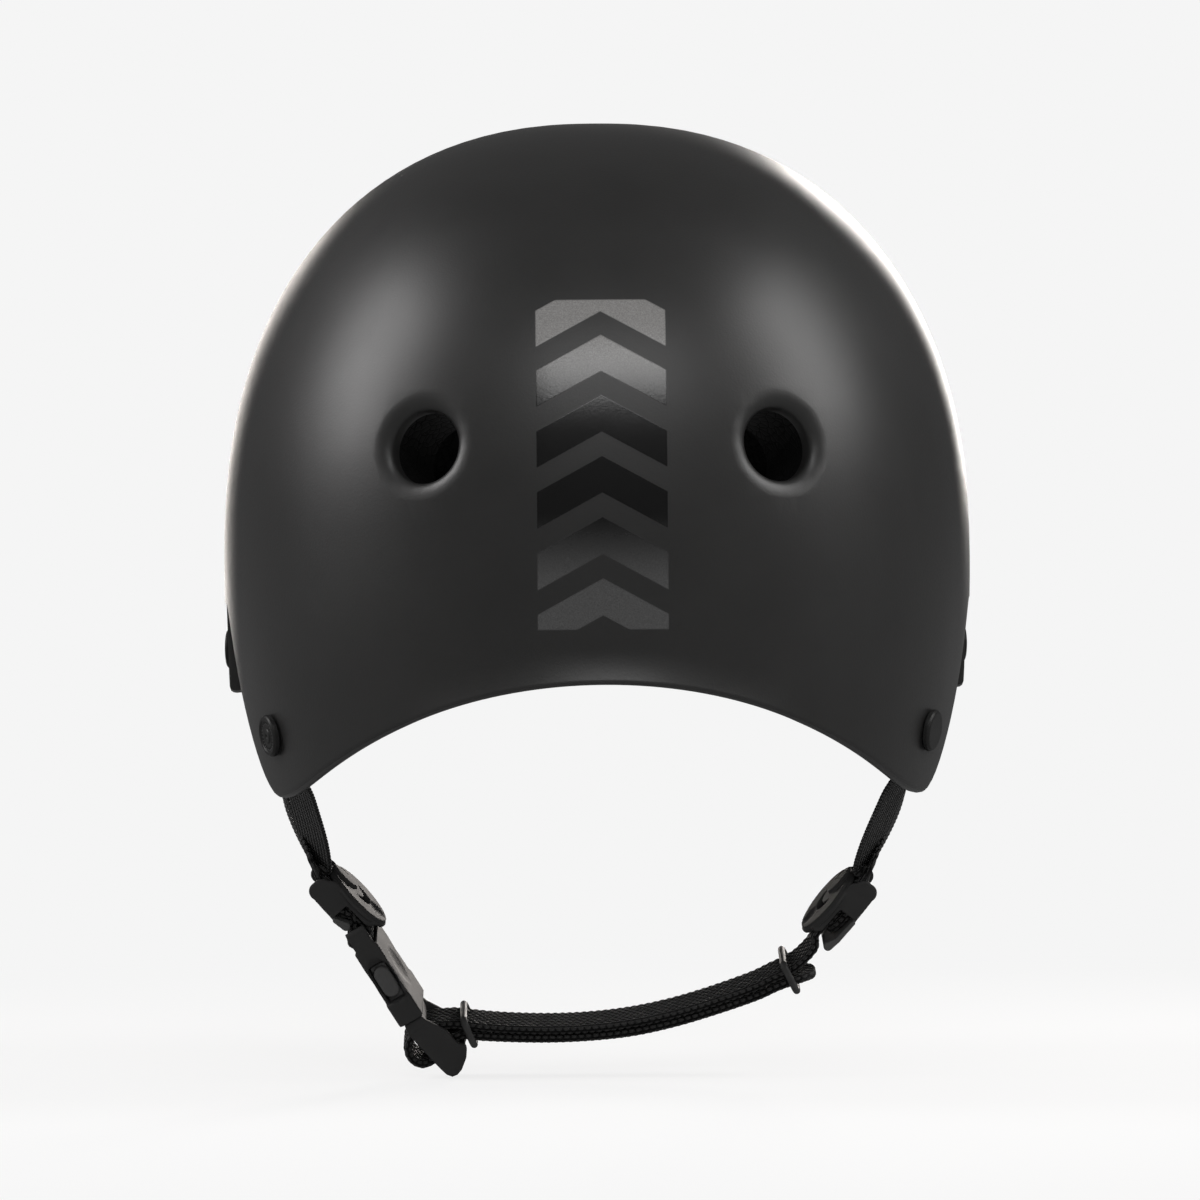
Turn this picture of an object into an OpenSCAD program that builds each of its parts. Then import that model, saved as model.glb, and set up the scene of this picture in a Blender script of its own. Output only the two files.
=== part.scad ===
// Skate helmet: hard shell, foam liner, comfort pads and a webbing chin harness.
// +Z is up, +Y is the wearer's forward and +X is the wearer's right.
// The origin is the centre of the head opening at the shell's widest level.

/* [Shell] */
// Half of the shell's widest width
shell_half_w = 108; // [100:0.5:116]
// Shell length from its widest line back to the rear
shell_rear_l = 142; // [132:1:152]
// Shell length from its widest line forward to the brow
shell_front_l = 122; // [114:1:130]
// Height of the crown above the widest level
crown_h = 126.5; // [118:0.5:134]
// How far the widest line lies ahead of the origin
widest_y = 10; // [0:1:20]
// Wall of the shell
shell_wall = 4; // [3:0.25:5]
// Share by which the wall draws in at the depth of the rear lobes
tuck = 0.06; // [0:0.01:0.1]
// Rise of the nape edge's middle below the widest level
nape_drop = 34.8; // [30:0.2:38]
// Radius of the arch cut across the nape
nape_arch_r = 147; // [136:1:160]
// Depth of the rear lobes below the widest level
lobe_drop = 67.5; // [63:0.5:70]
// Depth of the top of the ear notch below the widest level
ear_drop = 12.5; // [8:0.5:18]
// Depth of the lobe ahead of the ear below the widest level
front_lobe_drop = 38; // [32:0.5:44]
// Depth of the brow edge below the widest level
brow_drop = 15; // [10:0.5:22]
// How far the lip at the nape flares out
flare_out = 3.6; // [1:0.2:5]
// Height of the flared lip at its middle
flare_h = 10; // [6:0.5:14]

/* [Vents] */
// Bore of each vent
vent_d = 19.5; // [14:0.5:22]
// Diameter of the dished recess round each vent
dish_d = 27; // [24:0.5:30]
// Depth of the dished recess
dish_depth = 3; // [1.5:0.25:3.5]

/* [Liner and pads] */
// Thickness of the foam liner
liner_t = 20; // [14:1:24]
// Gap between the shell and the liner
liner_gap = 0.8; // [0.6:0.1:1.2]
// Height of the liner's edge above the shell's edge
liner_lift = 5; // [3:0.5:8]
// Thickness of a comfort pad at its crown
pad_t = 8; // [5:0.5:10]
// Space between the liner and the pads, where the hook patches sit
pad_stand = 2; // [1.8:0.1:2.5]
// Diameter of a hook patch
patch_d = 13; // [8:1:14]

/* [Strap anchors] */
// Diameter of a rivet's head
rivet_d = 11.8; // [10:0.2:14]
// Thickness of a rivet's head
rivet_head_t = 1.8; // [1.2:0.1:2.4]
// Diameter of a rivet's shank
rivet_shank_d = 5; // [4:0.25:6]
// Diameter of the washer inside the strap
washer_d = 11; // [9:0.5:13]
// Thickness of that washer
washer_t = 1.2; // [0.8:0.1:1.6]
// Depth of the rear anchors below the widest level
rear_anchor_drop = 48.7; // [46:0.1:52]
// Depth of the front anchors below the widest level
front_anchor_drop = 25; // [23:0.5:27]

/* [Webbing] */
// Width of the webbing
web_w = 15; // [12:0.5:15]
// Thickness of the chin webbing
web_t = 2.2; // [1.8:0.1:2.3]
// Thickness of the webbing between the anchors and the dividers
side_web_t = 1.3; // [1.0:0.1:1.3]
// Forward tilt of the harness below the ears
harness_tilt = 14; // [8:1:20]

/* [Dividers] */
// Length of a divider along the strap
divider_l = 23; // [22.6:0.1:23.6]
// Width of a divider
divider_w = 18.4; // [18.2:0.1:21]
// Thickness of a divider's side walls
cheek_t = 1.2; // [1:0.1:1.6]
// Diameter of the lever's hinge pin
lever_pin_d = 1.8; // [1.4:0.1:2]

/* [Buckle] */
// Length of the buckle's socket half
socket_l = 31.6; // [31.2:0.1:32.4]
// Width of the buckle's socket half
socket_w = 25; // [24:0.5:27]
// Thickness of the buckle
buckle_t = 7.4; // [7:0.1:7.8]
// Wall of the buckle's socket half
socket_wall = 1; // [0.8:0.1:1.1]

/* [Hidden] */
$fn = 48;

charcoal = "#2c2b2d";
webbing_black = "#1b1b1d";
foam_black = "#222224";

// Powers of the shell's plan outline and of its upright outline
plan_power = 2.3;
crown_power = 2.28;
columns = 96;
crown_rows = 9;
skirt_rows = 5;
rim_round = 1.2;
fit_gap = 0.3;

// Shell form. az runs from the rear (0) over the wearer's right (90) to the front (180).
function smooth_max(a, b, k) = (a + b + sqrt((a - b) * (a - b) + k * k)) / 2;
function ease(t) = (1 - cos(180 * min(1, max(0, t)))) / 2;
function folded(az) = abs(az > 180 ? az - 360 : az);
function reach(az, inset) =
    let (l = (abs(az > 180 ? az - 360 : az) < 90 ? shell_rear_l : shell_front_l) - inset)
    pow(pow(abs(sin(az)) / (shell_half_w - inset), plan_power)
        + pow(abs(cos(az)) / l, plan_power), -1 / plan_power);

lobe_az = 51.5;
ear_from = 75;
ear_to = 90;
front_lobe_from = 97;
front_lobe_to = 108;
brow_from = 150;
function nape_edge(az) =
    let (x = min(reach(az, 0) * sin(az), nape_arch_r - 1))
    -nape_drop - nape_arch_r + sqrt(nape_arch_r * nape_arch_r - x * x);
function lobe_edge(az) =
    -lobe_drop + (lobe_drop - ear_drop) * ease((az - lobe_az) / (ear_from - lobe_az));
function front_edge(az) =
    az < front_lobe_to
        ? -ear_drop - (front_lobe_drop - ear_drop) * ease((az - ear_to) / (front_lobe_from - ear_to))
        : -front_lobe_drop + (front_lobe_drop - brow_drop)
            * ease((az - front_lobe_to) / (brow_from - front_lobe_to));
function edge_z(az) =
    let (a = folded(az))
    a < ear_from ? smooth_max(nape_edge(a), lobe_edge(a), 4) : front_edge(a);
function flare(az, z) =
    let (a = folded(az), x = reach(a, 0) * sin(a), d = z - edge_z(az))
    a > 60 ? 0 : flare_out * max(0, 1 - pow(x / 56, 2)) * pow(max(0, 1 - d / flare_h), 1.6);

// A point of the shell's form, drawn in by inset
function crown_pt(az, polar, inset) =
    let (r = reach(az, inset) * pow(sin(polar), 2 / crown_power))
    [r * sin(az), widest_y - r * cos(az), (crown_h - inset) * pow(cos(polar), 2 / crown_power)];
function draw_in(az, z) = tuck * (1 - ease((folded(az) - 70) / 30)) * pow(z / 66, 2);
function skirt_pt(az, z, inset) =
    let (r = reach(az, inset) * (1 - draw_in(az, z)) + flare(az, z))
    [r * sin(az), widest_y - r * cos(az), z];
function shell_pt(az, z, inset) =
    z > 0 ? crown_pt(az, acos(pow(min(1, z / (crown_h - inset)), crown_power / 2)), inset)
        : skirt_pt(az, z, inset);
function unit(v) = v / norm(v);
function shell_normal(az, z) =
    unit(cross(shell_pt(az + 0.5, z, 0) - shell_pt(az - 0.5, z, 0),
        shell_pt(az, z + 0.5, 0) - shell_pt(az, z - 0.5, 0)));

azimuths = [for (i = [0 : columns - 1]) 360 * i / columns];
function crown_ring(polar, inset) = [for (az = azimuths) crown_pt(az, polar, inset)];
function skirt_ring(share, inset, lift) =
    [for (az = azimuths) skirt_pt(az, share * (edge_z(az) + lift), inset)];
function liner_edge(az) =
    let (a = folded(az))
    max(edge_z(az) + liner_lift, a < ear_to ? -liner_rear_drop : -liner_front_drop);
liner_rear_drop = rear_anchor_drop - 13;
liner_front_drop = front_anchor_drop - 12;
function liner_ring(share, inset, lift) =
    [for (az = azimuths) skirt_pt(az, share * (liner_edge(az) + lift), inset)];

// Stations on the shell, as [azimuth, height]
vent_stations = [[20.8, 30.5], [156, 60], [93.5, 123], [146, 113]];
rear_anchor = [50, -rear_anchor_drop];
front_anchor = [103.5, -front_anchor_drop];

// Places in the harness, whose plane tilts forward about the dividers
pivot_y = -10;
pivot_z = -98;
function harness_pt(x, y, v) =
    [x, pivot_y + y * cos(harness_tilt) - (v - pivot_z) * sin(harness_tilt),
        pivot_z + y * sin(harness_tilt) + (v - pivot_z) * cos(harness_tilt)];
harness_across = [0, cos(harness_tilt), sin(harness_tilt)];

// Middle of a divider's face plate, and its upper and lower end
plate_at = -2;
plate_to = plate_at + divider_l / 2;
plate_from = plate_at - divider_l / 2;
// Divider centres as [x, height in the harness plane, lean from upright], left then right
divider_place = [[73.2, -96.7, 43], [69.3, -99, 40]];
function divider_of(side) = divider_place[side < 0 ? 0 : 1];
function divider_pt(side, along, in) =
    let (d = divider_of(side))
    [side * (d[0] + along * sin(d[2]) - in * cos(d[2])), d[1] + along * cos(d[2]) + in * sin(d[2])];

// Buckle: place of the socket's mouth, and its lean
buckle_at = [-54.55, -130.5];
buckle_lean = 31;
function buckle_pt(along, in) =
    [buckle_at[0] - along * sin(buckle_lean) + in * cos(buckle_lean),
        buckle_at[1] + along * cos(buckle_lean) + in * sin(buckle_lean)];

// Skins a row of closed loops, with a fan to a tip point at each end
module skin(loops, tips) {
    n = len(loops[0]);
    m = len(loops);
    points = concat([for (loop = loops) each loop], tips);
    sides = [for (j = [0 : m - 2], i = [0 : n - 1])
        let (a = j * n + i, b = j * n + (i + 1) % n) each [[a, b, b + n], [a, b + n, a + n]]];
    first = [for (i = [0 : n - 1]) [m * n, (i + 1) % n, i]];
    last = [for (i = [0 : n - 1]) [m * n + 1, (m - 1) * n + i, (m - 1) * n + (i + 1) % n]];
    polyhedron(points, concat(sides, first, last), convexity = 6);
}
function middle(loop) = [for (k = [0 : 2]) let (v = [for (p = loop) p[k]]) (min(v) + max(v)) / 2];

// A smooth run through hand-set points, with steps pieces between each two
function run_pt(p, i, t) =
    let (a = p[max(0, i - 1)], b = p[i], c = p[min(len(p) - 1, i + 1)],
        d = p[min(len(p) - 1, i + 2)])
    (2 * b + (c - a) * t + (2 * a - 5 * b + 4 * c - d) * t * t
        + (3 * b - a - 3 * c + d) * t * t * t) / 2;
function smooth_run(p, steps) =
    [for (i = [0 : len(p) - 2], k = [0 : steps - 1]) run_pt(p, i, k / steps), p[len(p) - 1]];

// Webbing along points with one across direction each
web_chamfer = 0.4;
function web_outline(w, t) =
    let (a = w / 2, b = t / 2, c = web_chamfer)
    [[-a, b - c], [-a + c, b], [a - c, b], [a, b - c], [a, c - b], [a - c, -b], [c - a, -b],
        [-a, c - b]];
module webbing(points, across, w, t) {
    n = len(points);
    loops = [for (i = [0 : n - 1])
        let (along = unit(points[min(n - 1, i + 1)] - points[max(0, i - 1)]),
            flat = across[i] - (across[i] * along) * along, side = unit(flat),
            up = cross(along, side))
        [for (q = web_outline(w, t)) points[i] + q[0] * side + q[1] * up]];
    skin(loops, [points[0], points[n - 1]]);
}

module at_shell(side, station) {
    p = shell_pt(station[0], station[1], 0);
    n = shell_normal(station[0], station[1]);
    mirror([side < 0 ? 1 : 0, 0, 0]) translate(p) rotate([0, acos(n[2]), atan2(n[1], n[0])]) children();
}
module each_vent() for (side = [-1, 1], s = vent_stations) at_shell(side, s) children();
module each_anchor(side) for (s = [rear_anchor, front_anchor]) at_shell(side, s) children();
module in_harness()
    translate([0, pivot_y, pivot_z]) rotate([harness_tilt, 0, 0]) translate([0, 0, -pivot_z])
        children();
module at_divider(side) {
    d = divider_of(side);
    in_harness() mirror([side < 0 ? 1 : 0, 0, 0]) translate([d[0], 0, d[1]])
        rotate([0, d[2] - 90, 0]) children();
}
module at_buckle()
    in_harness() mirror([1, 0, 0]) translate([-buckle_at[0], 0, buckle_at[1]])
        rotate([0, buckle_lean - 90, 0]) children();

// Shell
dish_steps = 4;
vent_r = vent_d / 2;
dish_r = dish_d / 2;
dish_profile = [for (i = [0 : dish_steps])
    let (t = i / dish_steps)
    [dish_r + (vent_r - dish_r) * t, -dish_depth * pow(t, 2) * (1.4 - 0.4 * t)]];
module vent_cutter()
    rotate_extrude() polygon(concat([[0, 6], [dish_r + 5, 6]], dish_profile,
        [[vent_r, -shell_wall - 8], [0, -shell_wall - 8]]));
boss_r = dish_r + 0.8;
boss_back = -shell_wall - dish_depth + 0.6;
module vent_boss()
    rotate_extrude() polygon([[vent_r - 1, -2.2], [boss_r, -2.2], [boss_r, -shell_wall - 0.4],
        [vent_r + 2.4, boss_back], [vent_r - 1, boss_back]]);

module shell_form() {
    outer = concat(
        [for (j = [1 : crown_rows]) crown_ring(90 * j / crown_rows, 0)],
        [for (j = [1 : skirt_rows]) skirt_ring(j / skirt_rows, 0, rim_round)]);
    rim = [skirt_ring(1, shell_wall * 0.28, 0), skirt_ring(1, shell_wall * 0.72, 0)];
    inner = concat(
        [for (j = [skirt_rows : -1 : 1]) skirt_ring(j / skirt_rows, shell_wall, rim_round)],
        [for (j = [crown_rows : -1 : 1]) crown_ring(90 * j / crown_rows, shell_wall)]);
    skin(concat(outer, rim, inner), [[0, widest_y, crown_h], [0, widest_y, crown_h - shell_wall]]);
}

module outer_shell() color(charcoal) difference() {
    union() {
        shell_form();
        each_vent() vent_boss();
    }
    each_vent() vent_cutter();
    for (side = [-1, 1]) each_anchor(side)
        cylinder(h = 4 * shell_wall, d = rivet_shank_d + 0.1, center = true);
}

// Liner
liner_out = shell_wall + liner_gap;
liner_in = liner_out + liner_t;
module liner_form() {
    outer = concat(
        [for (j = [1 : crown_rows]) crown_ring(90 * j / crown_rows, liner_out)],
        [for (j = [1 : 3]) liner_ring(j / 3, liner_out, 2)]);
    rim = [liner_ring(1, liner_out + 2, 0), liner_ring(1, liner_in - 3, 0)];
    inner = concat(
        [for (j = [3 : -1 : 1]) liner_ring(j / 3, liner_in, 3)],
        [for (j = [crown_rows : -1 : 1]) crown_ring(90 * j / crown_rows, liner_in)]);
    skin(concat(outer, rim, inner),
        [[0, widest_y, crown_h - liner_out], [0, widest_y, crown_h - liner_in]]);
}
module impact_liner() color(foam_black) difference() {
    liner_form();
    each_vent() {
        translate([0, 0, boss_back - 0.6]) cylinder(h = 12, r = boss_r + 0.6);
        translate([0, 0, -liner_in - 12]) cylinder(h = liner_in + 10, r = vent_r + 0.8);
    }
}

// Pads. A pad on the liner's wall runs from az0 to az1 and from z0 to z1.
pad_edge_t = 1.6;
seam_half = 0.035;
function seam(u, channels) =
    max([for (k = [1 : channels]) exp(-pow((u - k / (channels + 1)) / seam_half, 2))]);
function crown_share(u, v) =
    sqrt(max(0, (1 - pow(abs(2 * u - 1), 8)) * (1 - pow(abs(2 * v - 1), 3))));
function pad_height(u, v, channels) =
    pad_edge_t + (pad_t - pad_edge_t) * crown_share(u, v) * (1 - 0.55 * seam(u, channels));
function drawn_v(u, v, channels) =
    0.5 + (v - 0.5) * (1 - 0.1 * seam(u, channels) - 0.3 * pow(abs(2 * u - 1), 7));
pad_rows = 5;
function pad_loop(u, channels) = concat(
    [for (j = [0 : pad_rows]) let (v = j / pad_rows) [u, drawn_v(u, v, channels), 0]],
    [for (j = [pad_rows : -1 : 0]) let (v = j / pad_rows)
        [u, drawn_v(u, v, channels), pad_height(u, v, channels)]]);
module pad(place, channels, turns) {
    steps = 5 * (channels + 1);
    loops = [for (i = [0 : steps])
        [for (q = pad_loop(i / steps, channels)) on_liner(place, q[0], q[1], q[2])]];
    rows = turns ? [for (i = [steps : -1 : 0]) loops[i]] : loops;
    skin(rows, [middle(rows[0]), middle(rows[steps])]);
}
// A place is [az0, az1, z0, z1] on the wall, or [half width, y0, y1] under the crown
function crown_height(x, y, inset) =
    let (share = norm([x, y - widest_y]) / reach(atan2(x, widest_y - y), inset))
    (crown_h - inset) * pow(1 - pow(share, crown_power), 1 / crown_power);
function on_liner(place, u, v, in) =
    len(place) == 4
        ? shell_pt(place[0] + (place[1] - place[0]) * u, place[2] + (place[3] - place[2]) * v,
            liner_in + pad_stand + in)
        : let (x = place[0] * (2 * v - 1), y = place[1] + (place[2] - place[1]) * u)
            [x, y, crown_height(x, y, liner_in + pad_stand + in)];
brow_place = [138, 222, -4, 28];
nape_place = [-36, 36, -26, 2];
side_place = [62, 112, 4, 34];
crown_place = [14, -42, 62];
module brow_pad() color(webbing_black) pad(brow_place, 3);
module nape_pad() color(webbing_black) pad(nape_place, 2);
module crown_pad() color(webbing_black) pad(crown_place, 2, true);
module side_pad(side) color(webbing_black) mirror([side < 0 ? 1 : 0, 0, 0]) pad(side_place, 1);

patch_t = 0.5;
module patch_at(place, u) {
    p = on_liner(place, u, 0.5, -0.45 * pad_stand);
    q = on_liner(place, u, 0.5, 0);
    a = on_liner(place, u + 0.01, 0.5, 0) - q;
    b = on_liner(place, u, 0.52, 0) - q;
    n = unit(cross(a, b));
    translate(p) rotate([0, acos(n[2]), atan2(n[1], n[0])])
        cylinder(h = patch_t, d = patch_d, center = true);
}
module hook_patches() color(foam_black) {
    for (u = [0.25, 0.75]) {
        patch_at(brow_place, u);
        patch_at(nape_place, u);
        patch_at(crown_place, u);
    }
    for (side = [0, 1]) mirror([side, 0, 0]) patch_at(side_place, 0.5);
}

// Strap rivets, their axis along the shell's normal
rivet_r = rivet_d / 2;
head_seat = 0.4;
strap_depth = shell_wall + 0.9 + side_web_t / 2;
washer_top = strap_depth + side_web_t / 2 + fit_gap;
tail_top = washer_top + washer_t + 0.1;
tail_t = 0.9;
knurls = 24;
module rivet_shank() {
    translate([0, 0, -tail_top]) cylinder(h = tail_top + head_seat + 0.2, d = rivet_shank_d);
    translate([0, 0, -tail_top - tail_t]) cylinder(h = tail_t, d = rivet_shank_d + 3);
}
module knurled_rivet() {
    top = head_seat + rivet_head_t;
    difference() {
        rotate_extrude() polygon([[0, head_seat], [rivet_r, head_seat], [rivet_r, top - 0.5],
            [rivet_r - 0.5, top], [rivet_r - 1.2, top], [rivet_r - 1.5, top - 0.35], [2.2, top - 0.35],
            [2, top], [0.8, top - 0.1], [0, top - 0.7]]);
        for (k = [0 : knurls - 1]) rotate([0, 0, 360 * k / knurls])
            translate([rivet_r - 2.2, 0, top - 0.35]) cylinder(h = 0.6, d = 0.7, center = true, $fn = 16);
    }
    rivet_shank();
}
module capped_rivet() {
    top = head_seat + rivet_head_t;
    rotate_extrude() polygon([[0, head_seat], [rivet_r, head_seat], [rivet_r, top - 0.6],
        [rivet_r - 0.6, top - 0.05], [rivet_r - 1.4, top], [0, top]]);
    rivet_shank();
}
module strap_rivets_left() color(charcoal) each_anchor(-1) knurled_rivet();
module strap_rivets_right() color(charcoal) each_anchor(1) capped_rivet();
module rivet_washers() color("silver")
    for (side = [-1, 1]) each_anchor(side) translate([0, 0, -washer_top - washer_t]) difference() {
        cylinder(h = washer_t, d = washer_d);
        translate([0, 0, -1]) cylinder(h = washer_t + 2, d = rivet_shank_d + 0.1);
    }

// Side straps, from an anchor down into the divider; in is their layer in the divider
outer_layer = -0.85;
inner_layer = outer_layer + side_web_t + 0.35;
// Where each strap starts to bend above the divider, and how far it fans out by there
rear_lead = [4.6, 1.4];
front_lead = [5.2, 0.1];
strap_meet = -0.7;
strap_steps = 3;
function sided(side, p) = [side * p[0], p[1], p[2]];
function lift_out(p) = harness_pt(p[0], 0, p[1]);
function side_strap_route(side, station, in, lead) =
    let (n = sided(side, shell_normal(station[0], station[1])),
        a = sided(side, shell_pt(station[0], station[1], 0)) - strap_depth * n,
        d = lift_out(divider_pt(side, plate_to + lead[0], in + lead[1])),
        e = unit(d - a - ((d - a) * n) * n))
    let (b = a + 8 * e)
    concat([a - 7.5 * e, a, b, (2 * b + d) / 3, (b + 2 * d) / 3, d],
        [for (along = [plate_to, plate_to / 2, strap_meet])
            lift_out(divider_pt(side, along, in))]);
function side_strap_across(side, station, lead, k) =
    let (n = sided(side, shell_normal(station[0], station[1])),
        route = side_strap_route(side, station, 0, lead), e = unit(route[2] - route[1]),
        w = cross(n, e), first = w * harness_across < 0 ? -w : w,
        t = ease((k - 3.2) / 1.6))
    unit((1 - t) * first + t * harness_across);
module side_strap(side, station, in, lead) {
    points = smooth_run(side_strap_route(side, station, in, lead), strap_steps);
    across = [for (i = [0 : len(points) - 1]) side_strap_across(side, station, lead, i / strap_steps)];
    color(webbing_black) difference() {
        webbing(points, across, web_w, side_web_t);
        at_shell(side, station) cylinder(h = 40, d = rivet_shank_d + 0.2, center = true);
    }
}

module front_strap(side) side_strap(side, front_anchor, outer_layer, front_lead);
module rear_strap(side) side_strap(side, rear_anchor, inner_layer, rear_lead);

// Dividers. Along the strap is x, up towards the shell; z points to the inside of the loop.
half_w = divider_w / 2;
face_low = 2;
face_top = 3.2;
lens_top = 4;
oval_top = 4.7;
oval_x = 4.8;
cheek_low = -5.2;
window_x = -0.2;
window_z = 0.3;
corner_r = 2.6;
outer_r = 3.4;
cheek_to = plate_to - 0.2;
pin_at = [6, -3.5];
pin_r = lever_pin_d / 2;
pin_wall = 0.4;
cheek_in = half_w - cheek_t;
leaf_r = 22;
leaf_off = 12.9;
leaf_at = 2.6;
module along_y(w) rotate([90, 0, 0]) linear_extrude(w, center = true) children();
module cheek_outline() {
    polygon([[plate_from + 3.6, face_top], [plate_from + 3.6, window_z + 1.4],
        [plate_from + 5, window_z], [window_x, window_z],
        [window_x, cheek_low], [cheek_to - corner_r, cheek_low],
        [cheek_to - corner_r, cheek_low + corner_r], [cheek_to, cheek_low + corner_r],
        [cheek_to, face_top - outer_r], [cheek_to - outer_r, face_top - outer_r],
        [cheek_to - outer_r, face_top]]);
    translate([cheek_to - corner_r, cheek_low + corner_r]) circle(r = corner_r);
    translate([cheek_to - outer_r, face_top - outer_r]) circle(r = outer_r);
}
// Leaf outline of the face plate, broad at its top and narrow at its tip
module leaf(h, in) linear_extrude(h) intersection() {
    for (s = [-1, 1]) translate([leaf_at, s * leaf_off]) circle(r = leaf_r - in, $fn = 96);
    translate([plate_at, 0]) circle(r = divider_l / 2 - in, $fn = 96);
}
module divider_base(side) color(charcoal) at_divider(side) difference() {
    union() {
        for (s = [-1, 1]) translate([0, s * (half_w - cheek_t / 2), 0]) along_y(cheek_t)
            cheek_outline();
        translate([plate_from + 4.6, -half_w, face_low])
            cube([cheek_to - outer_r - plate_from - 4.6, divider_w, face_top - face_low]);
        translate([0, 0, face_low]) leaf(face_top - face_low, 0);
        translate([0, 0, face_top - 0.1]) leaf(lens_top - face_top + 0.1, 0.7);
        translate([oval_x, 0, lens_top - 0.1]) linear_extrude(oval_top - lens_top + 0.1) intersection() {
            translate([0, 2.6]) circle(r = 5.6);
            translate([0, -2.6]) circle(r = 5.6);
        }
    }
    // Crescent window, finger scoop and the slot beside the oval
    translate([-1.4, 0, 0]) difference() {
        cylinder(h = 10, r = 4.6);
        translate([2.6, 0, -1]) cylinder(h = 12, r = 4.6);
    }
    translate([-8.6, 0, lens_top + 9.2]) sphere(r = 9.9);
    for (s = [-1, 1]) translate([oval_x, s * 5, 3]) cube([3.5, 1, 6], center = true);
    // Blind bores for the lever's pin
    translate([pin_at[0], 0, pin_at[1]]) rotate([90, 0, 0])
        cylinder(h = divider_w - 2 * pin_wall, r = pin_r + 0.02, center = true);
}
lever_w = 2 * cheek_in - 2 * fit_gap;
lever_boss_r = 1.7;
lever_t = 1.3;
lever_low = -5.8;
tip_r = 1.3;
// Along places of the levers' tips; the left one ends above the buckle's bar
lever_tips = [-4.6, -11];
module divider_lever(side) color(charcoal) at_divider(side) difference() {
    tip = [lever_tips[side < 0 ? 0 : 1], lever_low + 0.4 + tip_r];
    union() {
        translate([pin_at[0], 0, pin_at[1]]) rotate([90, 0, 0])
            cylinder(h = lever_w, r = lever_boss_r, center = true);
        along_y(lever_w) polygon([[pin_at[0] + 0.6, lever_low + 0.9], [pin_at[0] - 1, lever_low + 0.2],
            [window_x - 1, lever_low], [window_x - 1, lever_low + lever_t],
            [pin_at[0] - 3.2, lever_low + lever_t + 0.4], [pin_at[0] - 2.4, pin_at[1] + 1.2],
            [pin_at[0], pin_at[1] + 1.6]]);
        along_y(divider_w) polygon([[window_x - 0.4, lever_low + lever_t], [window_x - 0.4, lever_low],
            [tip[0] + 3, lever_low], [tip[0], tip[1] - tip_r], [tip[0], tip[1] + tip_r],
            [tip[0] + 3, lever_low + lever_t + 0.4]]);
        translate([tip[0], 0, tip[1]]) rotate([90, 0, 0])
            cylinder(h = divider_w, r = tip_r, center = true);
    }
    translate([pin_at[0], 0, pin_at[1]]) rotate([90, 0, 0])
        cylinder(h = divider_w, r = pin_r + 0.03, center = true);
}
module divider_pin(side) color("silver") at_divider(side)
    translate([pin_at[0], 0, pin_at[1]]) rotate([90, 0, 0])
        cylinder(h = divider_w - 2 * pin_wall - 0.2, r = pin_r, center = true);

// Buckle. Along it is x, from the socket's mouth up; y is across and z to the inside.
buckle_half = buckle_t / 2;
socket_half = socket_w / 2;
collar_l = 7.5;
waist_at = 13.4;
waist_half = 9.4;
cavity_half = socket_half - 1.9;
cavity_z = buckle_half - socket_wall;
cavity_l = 19.8;
window_l = 11.6;
pocket_from = 23.3;
face_l = 25.1;
ear_in = 9.6;
ear_half = 3.05;
strap_bar = [26.8, 29.4, -1.6, 0.4];
slot_half = web_w / 2 + 0.4;
module buckle_socket() color(charcoal) at_buckle() difference() {
    union() {
        difference() {
            translate([0, 0, -buckle_half]) linear_extrude(buckle_t)
                polygon([[0.5, -socket_half + 1], [0.5, socket_half - 1], [collar_l, socket_half - 0.5],
                    [waist_at + 5, 11.4], [face_l, 10.9], [socket_l - 0.8, 11.1], [socket_l, 10.4],
                    [socket_l, -10.4], [socket_l - 0.8, -11.1], [face_l, -10.9],
                    [waist_at + 5, -11.4], [collar_l, -socket_half + 0.5]]);
            for (s = [-1, 1]) translate([waist_at, s * (waist_half + 11), -9])
                cylinder(h = 18, r = 11, $fn = 72);
        }
        socket_collar();
    }
    // Cavity, open windows at both sides, and the strap's pocket
    translate([-1, -cavity_half, -cavity_z]) cube([cavity_l + 1, 2 * cavity_half, 2 * cavity_z]);
    translate([collar_l + 0.2, -socket_w, -cavity_z]) cube([window_l, 2 * socket_w, 2 * cavity_z]);
    translate([pocket_from, -slot_half, -9]) cube([5, 2 * slot_half, 9 + cavity_z]);
    // Above the faces only the two ears and the bar go on
    difference() {
        translate([face_l, -ear_in, -9]) cube([socket_l, 2 * ear_in, 18]);
        translate([strap_bar[0], -ear_in - 1, strap_bar[2]])
            cube([strap_bar[1] - strap_bar[0], 2 * ear_in + 2, strap_bar[3] - strap_bar[2]]);
    }
    for (s = [-1, 1]) translate([face_l, -socket_w, s < 0 ? -9 : ear_half])
        cube([socket_l, 2 * socket_w, 9 - ear_half]);
    // Thumb scoop in both broad faces
    for (s = [-1, 1]) translate([waist_at, 0, s * (buckle_half + 29.4)]) sphere(r = 30, $fn = 64);
}
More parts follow.
